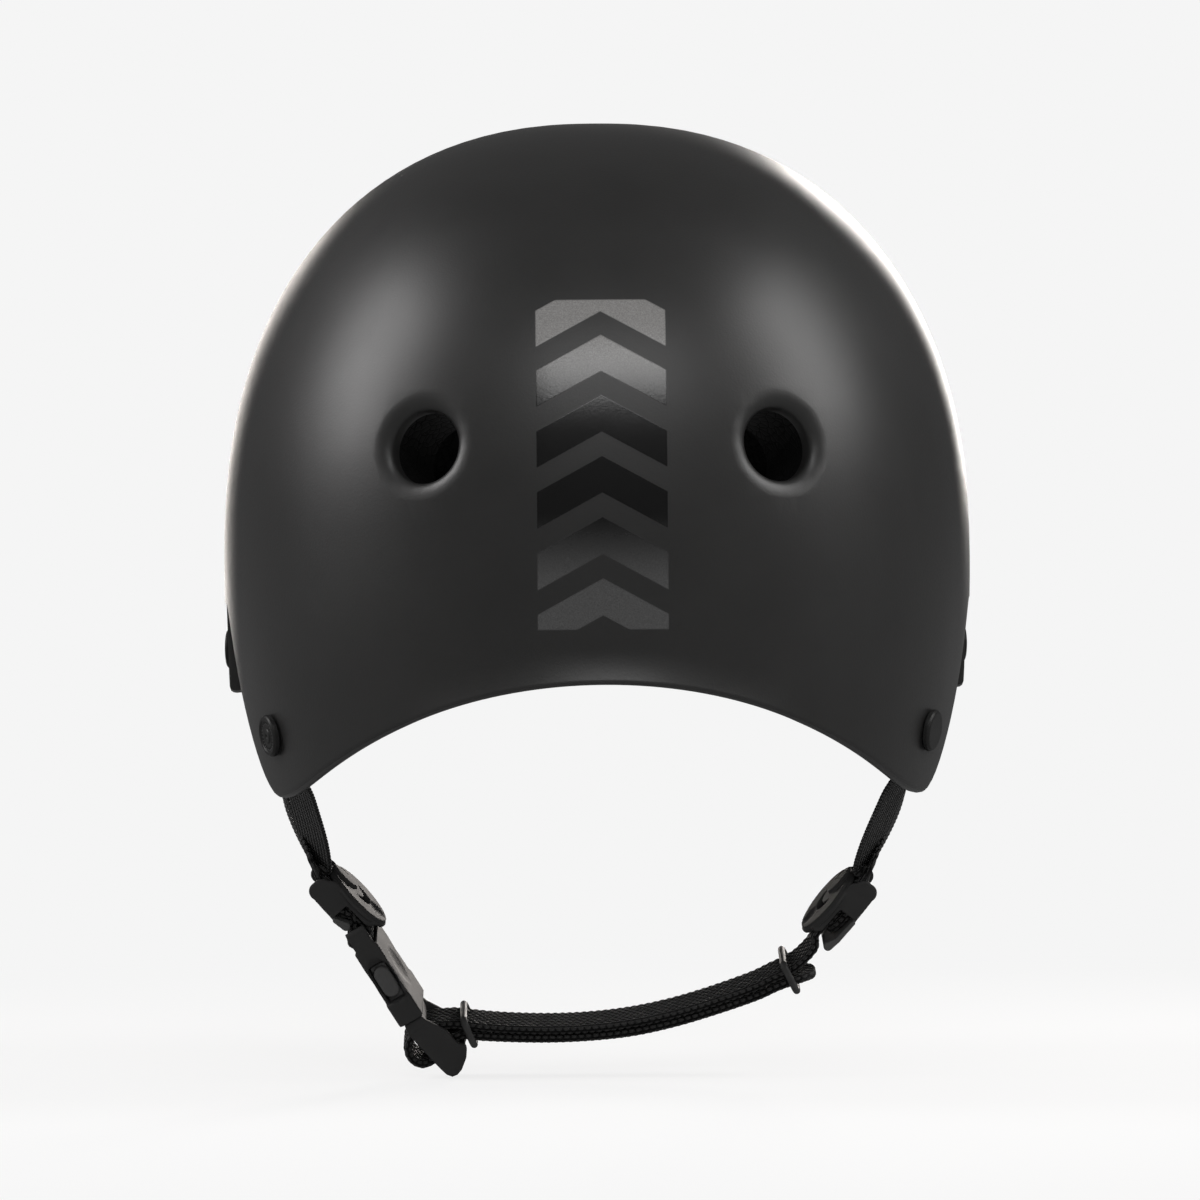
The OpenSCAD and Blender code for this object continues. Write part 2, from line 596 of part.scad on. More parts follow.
// Collar round the socket's mouth, with rounded edges
collar_r = 1.4;
module socket_collar() {
    h = buckle_half + 0.2;
    translate([0, -socket_half, collar_r - h]) cube([collar_l, socket_w, 2 * (h - collar_r)]);
    translate([0, collar_r - socket_half, -h]) cube([collar_l, socket_w - 2 * collar_r, 2 * h]);
    for (y = [-1, 1], z = [-1, 1]) translate([0, y * (socket_half - collar_r), z * (h - collar_r)])
        rotate([0, 90, 0]) cylinder(h = collar_l, r = collar_r);
}
prong_in = 7.4;
prong_w = 2;
tab_l = 10.8;
tab_at = collar_l + 0.5 + tab_l / 2;
tab_out = 11.9;
tab_r = 7.4;
prong_l = 19;
prong_half = cavity_z - fit_gap;
plug_half = 9.8;
plug_wall = 1.7;
plug_bar = [-12.4, -6.9, -0.9, 1.9];
end_plate = [[-15.6, 8.7], [-14.5, 7.5], [-20, 1.9], [-21.2, 3]];
module plug_cheek() polygon([[-0.6, -2.8], [-0.6, 2.8], [-2.4, 3.3], [-3.9, 4.2], [-8.4, 6.8],
    [-13.2, 7.4], [-14.9, 9.2], [-16, 8.9], [-18.3, 7.3], [-20.7, 4.3], [-21.4, 2.4], [-21.1, 0.8],
    [-19.7, -0.3], [-17.3, -0.9], [-4.5, -3.2], [-1.8, -3.1]]);
module buckle_plug() color(charcoal) at_buckle() {
    difference() {
        union() {
            for (s = [-1, 1]) translate([0, s * (plug_half - plug_wall / 2), 0])
                along_y(plug_wall) plug_cheek();
            translate([plug_bar[0], -plug_half + 0.4, plug_bar[2]])
                cube([plug_bar[1] - plug_bar[0], 2 * plug_half - 0.8, plug_bar[3] - plug_bar[2]]);
            along_y(2 * plug_half - 0.8) polygon(end_plate);
            translate([-3.6, -plug_half - 0.4, -2.8]) cube([3.1, 2 * plug_half + 0.8, 5.6]);
        }
        for (s = [-1, 1]) translate([0, s * (prong_in + prong_w / 2), 0])
            cylinder(h = 8, r = prong_w / 2 + 0.06, center = true);
    }
    translate([-0.8, 0, -1.5]) linear_extrude(3) {
        translate([0, -3.4]) square([13, 6.8]);
        translate([13, 0]) circle(r = 3.4);
    }
}
module buckle_prong(s) color(charcoal) at_buckle() mirror([0, s < 0 ? 1 : 0, 0]) {
    translate([0, prong_in + prong_w / 2, -prong_half]) cylinder(h = 2 * prong_half, r = prong_w / 2);
    translate([0, prong_in, -prong_half]) cube([prong_l - 1, prong_w, 2 * prong_half]);
    translate([prong_l - 1, prong_in + prong_w / 2, -prong_half])
        cylinder(h = 2 * prong_half, r = prong_w / 2);
    // Thumb tab, bulging out through the socket's window
    intersection() {
        translate([tab_at, tab_out - tab_r, -prong_half])
            cylinder(h = 2 * prong_half, r = tab_r, $fn = 72);
        translate([0, prong_in + prong_w + 5, 0]) along_y(2 * 6) {
            translate([collar_l + 0.5, -prong_half]) square([tab_l - prong_half, 2 * prong_half]);
            translate([collar_l + 0.5 + tab_l - prong_half, 0]) circle(r = prong_half);
        }
    }
}

// Webbing routes in the harness plane, as [x, height], from hand-set round points
chin_down = [[61.6, -111.2], [57.4, -116], [53.4, -118.6], [49.4, -120.5], [43.9, -123.2],
    [32.4, -127.4], [20.9, -130.9], [9.4, -133.4], [-2, -134.8], [-13.6, -135.3], [-25.2, -135],
    [-34, -134.3]];
chin_loop = [[-9.3, 9.9], [-7.5, 6.7], [-5.9, 3.9], [-5.25, 1.2], [-5.25, -1.6], [-5.9, -4.3],
    [-8.2, -6.4], [-11.4, -6.9], [-14.1, -5.3], [-14.8, -2.4], [-14.3, 0.6], [-13.4, 3.4],
    [-12.6, 6.4], [-12.6, 9.6]];
chin_back = [[-36.8, -137], [-25.2, -137.7], [-13.6, -137.9], [-2, -137.4], [9.6, -136.1],
    [21.3, -133.5], [32.9, -130], [44.6, -125.9], [50.6, -123.1], [54.8, -121.5], [58.5, -120.5],
    [62.3, -120]];
socket_loop = [[29.4, 2.75], [27.2, 2.1], [25.6, 1.3], [24.95, 0], [25.2, -1.6], [26.4, -2.85],
    [28.3, -3.05]];
function strap_start(side) =
    [for (along = side < 0 ? [strap_meet - fit_gap, -3.2] : [strap_meet - fit_gap, -5.6, -11.2])
        divider_pt(side, along, 0.3)];
chin_route = concat(strap_start(1), chin_down, [for (q = chin_loop) buckle_pt(q[0], q[1])], chin_back);
module flat_strap(route, steps) {
    points = [for (q = smooth_run(route, steps)) lift_out(q)];
    color(webbing_black) webbing(points, [for (q = points) harness_across], web_w, web_t);
}
module chin_strap() flat_strap(chin_route, 2);
module buckle_strap()
    flat_strap(concat(strap_start(-1), [for (q = socket_loop) buckle_pt(q[0], q[1])]), 2);

// Rubber rings that keep the strap's tail, as [x, height, slope of the strap, inner height]
keeper_r = 0.8;
keeper_bend = 1.8;
keeper_left = [-38.1, -135.3, 22, 6.6];
keeper_right = [54.6, -119.7, 26, 7.2];
module keeper(place) color(webbing_black) in_harness()
    translate([place[0], 0, place[1]]) rotate([0, -place[2], 0]) {
        a = web_w / 2 + 0.6 + keeper_r - keeper_bend;
        b = place[3] / 2 + keeper_r - keeper_bend;
        for (s = [-1, 1]) {
            translate([0, 0, s * (b + keeper_bend)]) rotate([90, 0, 0])
                cylinder(h = 2 * a, r = keeper_r, center = true);
            translate([0, s * (a + keeper_bend), 0]) cylinder(h = 2 * b, r = keeper_r, center = true);
        }
        for (q = [[a, b, 0], [-a, b, 90], [-a, -b, 180], [a, -b, 270]])
            translate([0, q[0], q[1]]) rotate([90, 0, 90]) rotate([0, 0, q[2]])
                rotate_extrude(angle = 90) translate([keeper_bend, 0]) circle(r = keeper_r);
    }

outer_shell();
impact_liner();
brow_pad();
nape_pad();
crown_pad();
side_pad(-1);  // side_pad_left
side_pad(1);  // side_pad_right
hook_patches();
strap_rivets_left();
strap_rivets_right();
rivet_washers();
front_strap(-1);  // front_strap_left
front_strap(1);  // front_strap_right
rear_strap(-1);  // rear_strap_left
rear_strap(1);  // rear_strap_right
divider_base(-1);  // divider_base_left
divider_base(1);  // divider_base_right
divider_lever(-1);  // divider_lever_left
divider_lever(1);  // divider_lever_right
divider_pin(-1);  // divider_pin_left
divider_pin(1);  // divider_pin_right
buckle_strap();
buckle_socket();
buckle_plug();
buckle_prong(1);  // buckle_prong_front
buckle_prong(-1);  // buckle_prong_rear
chin_strap();
keeper(keeper_left);  // strap_keeper_left
keeper(keeper_right);  // strap_keeper_right
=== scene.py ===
import bisect
import math

import bmesh
import bpy
from mathutils import Matrix, Vector
from mathutils.bvhtree import BVHTree


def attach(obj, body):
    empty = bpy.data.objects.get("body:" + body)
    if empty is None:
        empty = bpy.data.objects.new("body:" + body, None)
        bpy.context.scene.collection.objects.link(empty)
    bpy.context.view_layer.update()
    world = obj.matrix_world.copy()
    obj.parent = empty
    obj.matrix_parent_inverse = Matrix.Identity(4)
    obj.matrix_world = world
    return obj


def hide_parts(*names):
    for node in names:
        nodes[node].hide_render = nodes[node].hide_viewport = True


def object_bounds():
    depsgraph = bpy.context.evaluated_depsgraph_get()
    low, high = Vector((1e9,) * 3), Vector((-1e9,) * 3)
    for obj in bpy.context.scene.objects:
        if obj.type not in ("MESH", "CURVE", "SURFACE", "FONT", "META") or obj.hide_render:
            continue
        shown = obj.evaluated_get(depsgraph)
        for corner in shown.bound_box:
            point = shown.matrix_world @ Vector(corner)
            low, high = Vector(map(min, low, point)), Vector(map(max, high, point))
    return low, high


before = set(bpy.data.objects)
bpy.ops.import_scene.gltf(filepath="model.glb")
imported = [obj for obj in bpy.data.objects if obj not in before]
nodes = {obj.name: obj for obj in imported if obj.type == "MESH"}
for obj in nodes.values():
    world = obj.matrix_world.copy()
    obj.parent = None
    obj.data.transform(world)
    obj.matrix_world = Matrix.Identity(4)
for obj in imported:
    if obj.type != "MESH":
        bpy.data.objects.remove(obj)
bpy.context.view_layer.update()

scene = bpy.context.scene
mm = 0.001
print("helmet: frame loaded,", len(nodes), "nodes")


# Shader building

class Wire:
    # An output of a node, used in expressions like a number
    def __init__(self, paint, socket):
        self.paint, self.socket = paint, socket

    def maths(self, operation, first, second=0.0):
        return self.paint.node("ShaderNodeMath", {"operation": operation}, {0: first, 1: second})

    def output(self, name):
        return Wire(self.paint, self.socket.node.outputs[name])

    def __add__(self, other):
        return self.maths("ADD", self, other)

    __radd__ = __add__

    def __sub__(self, other):
        return self.maths("SUBTRACT", self, other)

    def __rsub__(self, other):
        return self.maths("SUBTRACT", other, self)

    def __mul__(self, other):
        return self.maths("MULTIPLY", self, other)

    __rmul__ = __mul__

    def __truediv__(self, other):
        return self.maths("DIVIDE", self, other)

    def __pow__(self, other):
        return self.maths("POWER", self, other)

    def __abs__(self):
        return self.maths("ABSOLUTE", self)

    def __mod__(self, other):
        return self.maths("FLOORED_MODULO", self, other)


class Paint:
    # A material, or the world's air, while its nodes are being joined up
    def __init__(self, name, world=None, **constants):
        self.material = world or bpy.data.materials.new(name)
        self.material.use_nodes = True
        self.tree = self.material.node_tree
        self.shader = self.tree.nodes["Background" if world else "Principled BSDF"]
        for socket, value in constants.items():
            self.put(self.shader.inputs[socket.replace("_", " ")], value)

    def put(self, socket, value):
        if isinstance(value, Wire):
            self.tree.links.new(value.socket, socket)
        else:
            socket.default_value = value

    def node(self, kind, settings=None, sockets=None, out=0):
        made = self.tree.nodes.new(kind)
        for name, value in (settings or {}).items():
            setattr(made, name, value)
        for name, value in (sockets or {}).items():
            self.put(made.inputs[name], value)
        return Wire(self, made.outputs[out])

    def place(self):
        return self.node("ShaderNodeTexCoord", out="Object")

    def axes(self, vector):
        # The x, y and z of a vector
        parts = self.node("ShaderNodeSeparateXYZ", sockets={0: vector})
        return parts, parts.output("Y"), parts.output("Z")

    def noise(self, vector, scale, detail=2.0):
        return self.node("ShaderNodeTexNoise", sockets={"Vector": vector, "Scale": scale, "Detail": detail})

    def cells(self, vector, scale, feature="F1"):
        return self.node("ShaderNodeTexVoronoi", {"feature": feature}, {"Vector": vector, "Scale": scale})

    def step(self, value, low, high):
        # Rises smoothly from 0 at low to 1 at high
        return self.node("ShaderNodeMapRange", {"interpolation_type": "SMOOTHSTEP"}, {
            "Value": value, "From Min": low, "From Max": high})

    def blend(self, share, first, second):
        return self.node("ShaderNodeMix", {"data_type": "RGBA"}, {0: share, 6: first, 7: second}, out=2)

    def bump(self, height, distance, strength):
        return self.node("ShaderNodeBump", sockets={
            "Height": height, "Distance": distance, "Strength": strength}, out="Normal")

    def use(self, **varying):
        for socket, value in varying.items():
            self.put(self.shader.inputs[socket.replace("_", " ")], value)
        return self.material

    def surface(self, share, other):
        # Mixes the main shader with another one at the output
        main = Wire(self, self.shader.outputs[0])
        mixed = self.node("ShaderNodeMixShader", sockets={0: share, 1: main, 2: other})
        output = "World Output" if isinstance(self.material, bpy.types.World) else "Material Output"
        self.put(self.tree.nodes[output].inputs["Surface"], mixed)


def grey(value, warm=0.0):
    return (value * (1 + warm), value, value * (1 - warm), 1)


# Materials; their lengths are metres

shellLook = {
    "body": 0.0080, "dust": 0.0105, "rough": 0.41, "cloud": 38.0, "grain": 1500.0, "sand": 2600.0,
    "grainDepth": 0.00004, "grainStrength": 0.75,
    # The motif, a stack of chevrons: its place and edges, its bars, and how they fade
    "motifHalf": 0.0178, "motifLow": -0.020, "motifHigh": 0.070, "motifEdge": 0.0005, "laneEdge": 0.0004,
    "motifGloss": 0.19,
    "pitch": 0.0165, "slope": 0.55, "barShare": 0.62, "barPale": 0.150, "barLow": 0.045, "barDark": 0.0022,
    "darkAt": 0.026, "darkFade": (0.014, 0.036), "lowFade": (0.0, 0.05), "backFade": (-0.02, 0.0),
}


def shellPaint():
    look = shellLook
    paint = Paint("shellCharcoal", IOR=1.46, Specular_IOR_Level=0.36)
    place = paint.place()
    x, y, z = paint.axes(place)
    grain = paint.noise(place, look["grain"])
    cloud = paint.noise(place, look["cloud"], 4.0)
    sand = paint.noise(place, look["sand"], 1.0)
    # Stack of plain chevrons down the middle of the back
    edge = look["motifEdge"]
    lane = 1 - paint.step(abs(x), look["motifHalf"] - look["laneEdge"], look["motifHalf"])
    back = 1 - paint.step(y, *look["backFade"])
    span = paint.step(z, look["motifLow"], look["motifLow"] + edge) \
        * (1 - paint.step(z, look["motifHigh"] - edge, look["motifHigh"]))
    phase = ((z + abs(x) * look["slope"]) / look["pitch"]) % 1.0
    bar = paint.step(phase, 0.02, 0.05) * (1 - paint.step(phase, look["barShare"], look["barShare"] + 0.03))
    motif = lane * back * span * bar
    middle = paint.step(abs(z - look["darkAt"]), *look["darkFade"])
    palest = paint.blend(paint.step(z, *look["lowFade"]), grey(look["barLow"]), grey(look["barPale"], 0.02))
    pale = paint.blend(sand * 0.6, palest, grey(look["barDark"]))
    ink = paint.blend(middle, grey(look["barDark"]), pale)
    body = paint.blend(cloud, grey(look["body"], 0.01), grey(look["dust"], 0.015))
    rough = look["rough"] + (cloud - 0.5) * 0.10 + (grain - 0.5) * 0.08 - motif * look["motifGloss"]
    height = grain * 0.8 + motif * 0.5
    return paint.use(Base_Color=paint.blend(motif, body, ink), Roughness=rough,
                     Normal=paint.bump(height, look["grainDepth"], look["grainStrength"]))


foamLook = {"beads": 420.0, "seam": (0.02, 0.10), "mottle": 60.0, "dark": 0.0010, "body": 0.0022,
            "pale": 0.0042, "rough": 0.72, "depth": 0.0004}


def foamPaint():
    # Moulded foam: beads with fine seams between them
    look = foamLook
    paint = Paint("linerFoam", IOR=1.4, Specular_IOR_Level=0.1)
    place = paint.place()
    beads = paint.cells(place, look["beads"])
    seam = paint.step(paint.cells(place, look["beads"], "DISTANCE_TO_EDGE"), *look["seam"])
    tone = paint.blend(seam, grey(look["dark"]), grey(look["body"]))
    mottled = paint.blend(paint.noise(place, look["mottle"], 3.0), tone, grey(look["pale"]))
    return paint.use(Base_Color=mottled, Roughness=look["rough"] - 0.12 * seam,
                     Normal=paint.bump(seam * 0.6 + (1 - beads) * 0.4, look["depth"], 0.6))


padLook = {"loops": 1150.0, "nap": 420.0, "wear": 45.0, "dark": 0.007, "body": 0.020, "pale": 0.024,
           "rough": 0.86, "depth": 0.0005}


def padPaint():
    # Knitted cover with a little nap
    look = padLook
    paint = Paint("padKnit", IOR=1.38, Sheen_Weight=0.25, Sheen_Roughness=0.5)
    place = paint.place()
    loops = paint.cells(place, look["loops"])
    nap = paint.noise(place, look["nap"], 3.0)
    tone = paint.blend(loops, grey(look["body"]), grey(look["dark"]))
    worn = paint.blend(paint.noise(place, look["wear"], 3.0), tone, grey(look["pale"]))
    return paint.use(Base_Color=worn, Roughness=look["rough"] + (nap - 0.5) * 0.12,
                     Normal=paint.bump((1 - loops) * 0.7 + nap * 0.5, look["depth"], 0.8))


hookLook = {"hooks": 900.0, "body": 0.035, "dark": 0.008, "rough": 0.6, "depth": 0.0006}


def hookPaint():
    # Hook tape, set with tiny hooks
    look = hookLook
    paint = Paint("hookTape", IOR=1.4)
    hooks = paint.cells(paint.place(), look["hooks"])
    return paint.use(Base_Color=paint.blend(hooks, grey(look["body"]), grey(look["dark"])),
                     Roughness=look["rough"] + hooks * 0.3, Normal=paint.bump(1 - hooks, look["depth"], 0.9))


mouldedLook = {
    # name, tone, roughness and scale of the fine texture of each finish
    "hardware": ("hardwareSatin", 0.0145, 0.70, 1300.0),
    # The paler finish is a painted highlight: a lighter copy of the same hardware plastic, standing in for
    # the light on the raised prong tabs and levers
    "hardwarePaintedLit": ("leverSatinPaintedLit", 0.032, 0.66, 1300.0),
    "rivet": ("rivetSatin", 0.0070, 0.42, 1500.0),
    "flow": 110.0, "depth": 0.00002, "strength": 0.18,
}


def mouldedPaint(finish):
    # Satin moulded plastic with fine texture and faint flow marks
    name, tone, rough, grain = mouldedLook[finish]
    paint = Paint(name, IOR=1.47, Specular_IOR_Level=0.15)
    place = paint.place()
    fine = paint.noise(place, grain)
    flow = paint.noise(place, mouldedLook["flow"], 3.0)
    base = paint.blend(flow, grey(tone * 0.82), grey(tone * 1.2, 0.01))
    return paint.use(Base_Color=base, Roughness=rough + (flow - 0.5) * 0.14 + (fine - 0.5) * 0.08,
                     Normal=paint.bump(fine, mouldedLook["depth"], mouldedLook["strength"]))


rubberLook = {"bloom": 240.0, "fine": 1800.0, "body": 0.011, "pale": 0.024, "rough": 0.46,
              "depth": 0.00002}


def rubberPaint():
    # Black rubber with a dusty bloom
    look = rubberLook
    paint = Paint("keeperRubber", IOR=1.5, Specular_IOR_Level=0.3)
    place = paint.place()
    bloom = paint.noise(place, look["bloom"], 4.0)
    fine = paint.noise(place, look["fine"])
    return paint.use(Base_Color=paint.blend(bloom, grey(look["body"]), grey(look["pale"], 0.01)),
                     Roughness=look["rough"] + bloom * 0.2, Normal=paint.bump(fine, look["depth"], 0.15))


steelLook = {"draw": 3200.0, "stretch": (1, 0.05, 1), "dark": 0.42, "pale": 0.58, "rough": 0.28,
             "depth": 0.00002}


def steelPaint():
    # Drawn wire, with fine lines along it
    look = steelLook
    paint = Paint("pinSteel", Metallic=1.0)
    stretched = paint.node("ShaderNodeMapping", sockets={"Vector": paint.place(), "Scale": look["stretch"]})
    drawn = paint.noise(stretched, look["draw"])
    return paint.use(Base_Color=paint.blend(drawn, grey(look["dark"]), grey(look["pale"])),
                     Roughness=look["rough"] + drawn * 0.16, Normal=paint.bump(drawn, look["depth"], 0.5))


webLook = {
    # Millimetres: stitch length, stitches round the section, shift from row to row, rise and dip
    "chin": {"long": 2.1, "rows": 20, "shift": 0.5, "out": 0.16, "sink": 0.30},
    "side": {"long": 1.6, "rows": 22, "shift": 1 / 3, "out": 0.10, "sink": 0.20},
    # gap is a near-black painted shade for the dips between the stitches
    "perStitch": 4, "gap": 0.0005, "yarn": 0.0085, "fleck": 0.0190, "depth": 0.0005, "rough": 0.52,
    "knot": (0.22, 0.85), "strands": 21.0, "fibre": 2600.0, "patch": 160.0,
}


def webbingPaint(name, shift):
    # The strap's own map counts stitches: along it, and round its section
    look = webLook
    paint = Paint(name, IOR=1.42, Specular_IOR_Level=0.28, Sheen_Weight=0.05, Sheen_Roughness=0.4)
    spot = paint.node("ShaderNodeUVMap", {"uv_map": "strapMap"})
    along, around = paint.axes(spot)[:2]
    row = paint.node("ShaderNodeMath", {"operation": "FLOOR"}, {0: around})
    a = ((along + row * shift) % 1.0) - 0.5
    b = (around % 1.0) - 0.5
    stitch = (1 - a * a * 4) * (1 - b * b * 4)
    high = paint.step(stitch, *look["knot"])
    place = paint.place()
    turns = (a + b * 0.6) * look["strands"]
    strands = paint.node("ShaderNodeMath", {"operation": "SINE"}, {0: turns}) * 0.5 + 0.5
    fibre = paint.noise(place, look["fibre"])
    patch = paint.noise(place, look["patch"], 3.0)
    share = fibre * 0.5 + patch * 0.35 + strands * 0.15
    yarn = paint.blend(share, grey(look["yarn"]), grey(look["fleck"], 0.01))
    # Painted shade: the dips between stitches take the near-black gap tone, and the raised stitch tops take
    # the yarn tone
    return paint.use(Base_Color=paint.blend(high, grey(look["gap"]), yarn),
                     Roughness=look["rough"] + fibre * 0.22,
                     Normal=paint.bump(high + strands * 0.12 + fibre * 0.04, look["depth"], 0.7))


finishes = {
    "shell": shellPaint(), "foam": foamPaint(), "pad": padPaint(), "hook": hookPaint(),
    "hardware": mouldedPaint("hardware"), "hardwarePaintedLit": mouldedPaint("hardwarePaintedLit"),
    "rivet": mouldedPaint("rivet"),
    "rubber": rubberPaint(), "steel": steelPaint(),
    "sideWeb": webbingPaint("sideWebbing", webLook["side"]["shift"]),
    "chinWeb": webbingPaint("chinWebbing", webLook["chin"]["shift"]),
}
print("helmet: materials ready")


# Mesh helpers

def addPiece(name, bm, finish, body="helmet", smooth=True):
    # Lengths so far are millimetres
    bmesh.ops.scale(bm, vec=(mm, mm, mm), verts=bm.verts)
    mesh = bpy.data.meshes.new(name)
    bm.to_mesh(mesh)
    bm.free()
    piece = bpy.data.objects.new(name, mesh)
    scene.collection.objects.link(piece)
    if finish:
        mesh.materials.append(finishes[finish])
        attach(piece, body)
    if smooth:
        smoothShade(piece)
    return piece


def smoothShade(piece, angle=32):
    bm = bmesh.new()
    bm.from_mesh(piece.data)
    for face in bm.faces:
        face.smooth = True
    for edge in bm.edges:
        edge.smooth = edge.calc_face_angle(0.0) < math.radians(angle)
    bm.to_mesh(piece.data)
    bm.free()


def settle(piece):
    # Applies the piece's modifiers
    bpy.context.view_layer.update()
    graph = bpy.context.evaluated_depsgraph_get()
    made = bpy.data.meshes.new_from_object(piece.evaluated_get(graph))
    old = piece.data
    piece.modifiers.clear()
    piece.data = made
    bpy.data.meshes.remove(old)


def tool(bm):
    return addPiece("mouldTool", bm, None, smooth=False)


def carve(piece, cutter, operation="DIFFERENCE"):
    cut = piece.modifiers.new("carve", "BOOLEAN")
    cut.operation, cut.solver, cut.object = operation, "EXACT", cutter
    settle(piece)
    bpy.data.objects.remove(cutter)


def paintOver(piece, finish):
    piece.data.materials.clear()
    piece.data.materials.append(finishes[finish])


def solidCopy(node, out):
    # A node's mesh in millimetres, merged, with its skin moved out
    bm = bmesh.new()
    bm.from_mesh(nodes[node].data)
    bmesh.ops.remove_doubles(bm, verts=bm.verts, dist=2e-6)
    if out:
        bm.normal_update()
        for vert in bm.verts:
            vert.co += vert.normal * out
    bmesh.ops.scale(bm, vec=(1 / mm, 1 / mm, 1 / mm), verts=bm.verts)
    return bm


def lathe(profile, steps, closed=False):
    # Turns a profile of (radius, height) pairs round the upright axis
    bm = bmesh.new()
    line = [bm.verts.new((r, 0, h)) for r, h in profile]
    for a, b in zip(line, line[1:] + (line[:1] if closed else [])):
        if a is not b:
            bm.edges.new((a, b))
    bmesh.ops.spin(bm, geom=bm.verts[:] + bm.edges[:], cent=(0, 0, 0), axis=(0, 0, 1),
                   dvec=(0, 0, 0), angle=math.tau, steps=steps, use_merge=True, use_duplicate=False)
    bmesh.ops.remove_doubles(bm, verts=bm.verts, dist=1e-4)
    bmesh.ops.recalc_face_normals(bm, faces=bm.faces)
    return bm


def joined(parts):
    # One bmesh from several (bmesh, matrix) pairs
    whole = bmesh.new()
    for bm, matrix in parts:
        mesh = bpy.data.meshes.new("part")
        bm.to_mesh(mesh)
        mesh.transform(matrix)
        if matrix.determinant() < 0:
            mesh.flip_normals()
        whole.from_mesh(mesh)
        bpy.data.meshes.remove(mesh)
    return whole


# Shell form, with the same numbers as the solid

shell = {
    "halfWide": 108.0, "rearLong": 142.0, "frontLong": 122.0, "crownHigh": 126.5, "widestAt": 10.0,
    "wall": 4.0, "napeDrop": 34.8, "napeArch": 147.0, "lobeDrop": 67.5,
    "earDrop": 12.5, "frontLobeDrop": 38.0, "browDrop": 15.0,
    "planPower": 2.3, "crownPower": 2.28, "rimRound": 1.2,
    # The lip that turns out along the nape edge, and the tuck of the skirt above the lobes
    "flareOut": 3.6, "flareHigh": 10.0, "flareHalf": 56.0, "flareTo": 60.0, "flarePower": 1.6,
    "tuck": 0.06, "tuckFade": (70, 100), "tuckDrop": 66.0,
    # Azimuths from the back, in degrees, between which the edge climbs or falls
    "lobeToEar": (51.5, 75), "earToLobe": (90, 97), "lobeToBrow": (108, 150), "edgeBlend": 4.0,
    "columns": 288, "rows": (34, 20, 5), "smoothBelow": 28,
}


def ease(value, span):
    # Rises smoothly from 0 to 1 over the span
    t = (value - span[0]) / (span[1] - span[0])
    return (1 - math.cos(math.pi * min(1, max(0, t)))) / 2


def folded(az):
    # Both halves of the shell are alike
    az %= 360
    return 360 - az if az > 180 else az


def reach(az, inset):
    a, p = folded(az), shell["planPower"]
    long = (shell["rearLong"] if a < 90 else shell["frontLong"]) - inset
    s, c = abs(math.sin(math.radians(a))), abs(math.cos(math.radians(a)))
    return ((s / (shell["halfWide"] - inset)) ** p + (c / long) ** p) ** (-1 / p)


def napeEdge(a):
    radius = shell["napeArch"]
    x = min(reach(a, 0) * math.sin(math.radians(a)), radius - 1)
    return -shell["napeDrop"] - radius + math.sqrt(radius * radius - x * x)


def lobeEdge(a):
    return -shell["lobeDrop"] + (shell["lobeDrop"] - shell["earDrop"]) * ease(a, shell["lobeToEar"])


def frontEdge(a):
    ear, lobe = shell["earDrop"], shell["frontLobeDrop"]
    if a < shell["lobeToBrow"][0]:
        return -ear - (lobe - ear) * ease(a, shell["earToLobe"])
    return -lobe + (lobe - shell["browDrop"]) * ease(a, shell["lobeToBrow"])


def edgeHeight(az):
    a = folded(az)
    if a >= shell["lobeToEar"][1]:
        return frontEdge(a)
    nape, lobe = napeEdge(a), lobeEdge(a)
    return (nape + lobe + math.hypot(nape - lobe, shell["edgeBlend"])) / 2


def flare(az, z):
    a = folded(az)
    if a > shell["flareTo"]:
        return 0.0
    x = reach(a, 0) * math.sin(math.radians(a))
    down = max(0, 1 - (z - edgeHeight(az)) / shell["flareHigh"])
    return shell["flareOut"] * max(0, 1 - (x / shell["flareHalf"]) ** 2) * down ** shell["flarePower"]


def turned(az, r, z):
    t = math.radians(az)
    return Vector((r * math.sin(t), shell["widestAt"] - r * math.cos(t), z))


def crownPoint(az, polar, inset):
    power, t = 2 / shell["crownPower"], math.radians(polar)
    high = (shell["crownHigh"] - inset) * max(0, math.cos(t)) ** power
    return turned(az, reach(az, inset) * math.sin(t) ** power, high)


def skirtPoint(az, z, inset):
    tuck = shell["tuck"] * (1 - ease(folded(az), shell["tuckFade"])) * (z / shell["tuckDrop"]) ** 2
    return turned(az, reach(az, inset) * (1 - tuck) + flare(az, z), z)


def shellPoint(az, z, inset=0.0):
    if z <= 0:
        return skirtPoint(az, z, inset)
    share = min(1, z / (shell["crownHigh"] - inset)) ** (shell["crownPower"] / 2)
    return crownPoint(az, math.degrees(math.acos(share)), inset)


def shellNormal(az, z):
    sideways = shellPoint(az + 0.5, z) - shellPoint(az - 0.5, z)
    upwards = shellPoint(az, z + 0.5) - shellPoint(az, z - 0.5)
    return sideways.cross(upwards).normalized()


def wallRows(outer, inner, edge, lip, counts):
    # Rows from the outer pole, round the rim, to the inner pole; each gives a point for an azimuth
    crownCount, skirtCount, rimCount = counts

    def crown(polar, inset):
        return lambda az: crownPoint(az, polar, inset)

    def skirt(share, inset):
        return lambda az: skirtPoint(az, share * (edge(az) + lip), inset)

    def rim(angle):
        inset = outer + (inner - outer) * (1 - math.cos(angle)) / 2
        return lambda az: skirtPoint(az, edge(az) + lip * (1 - math.sin(angle)), inset)

    polars = [90 * j / crownCount for j in range(crownCount + 1)]
    shares = [1 - (1 - j / skirtCount) ** 1.5 for j in range(1, skirtCount + 1)]
    return ([crown(p, outer) for p in polars] + [skirt(s, outer) for s in shares]
            + [rim(math.pi * k / (rimCount + 1)) for k in range(1, rimCount + 1)]
            + [skirt(s, inner) for s in reversed(shares)] + [crown(p, inner) for p in reversed(polars)])


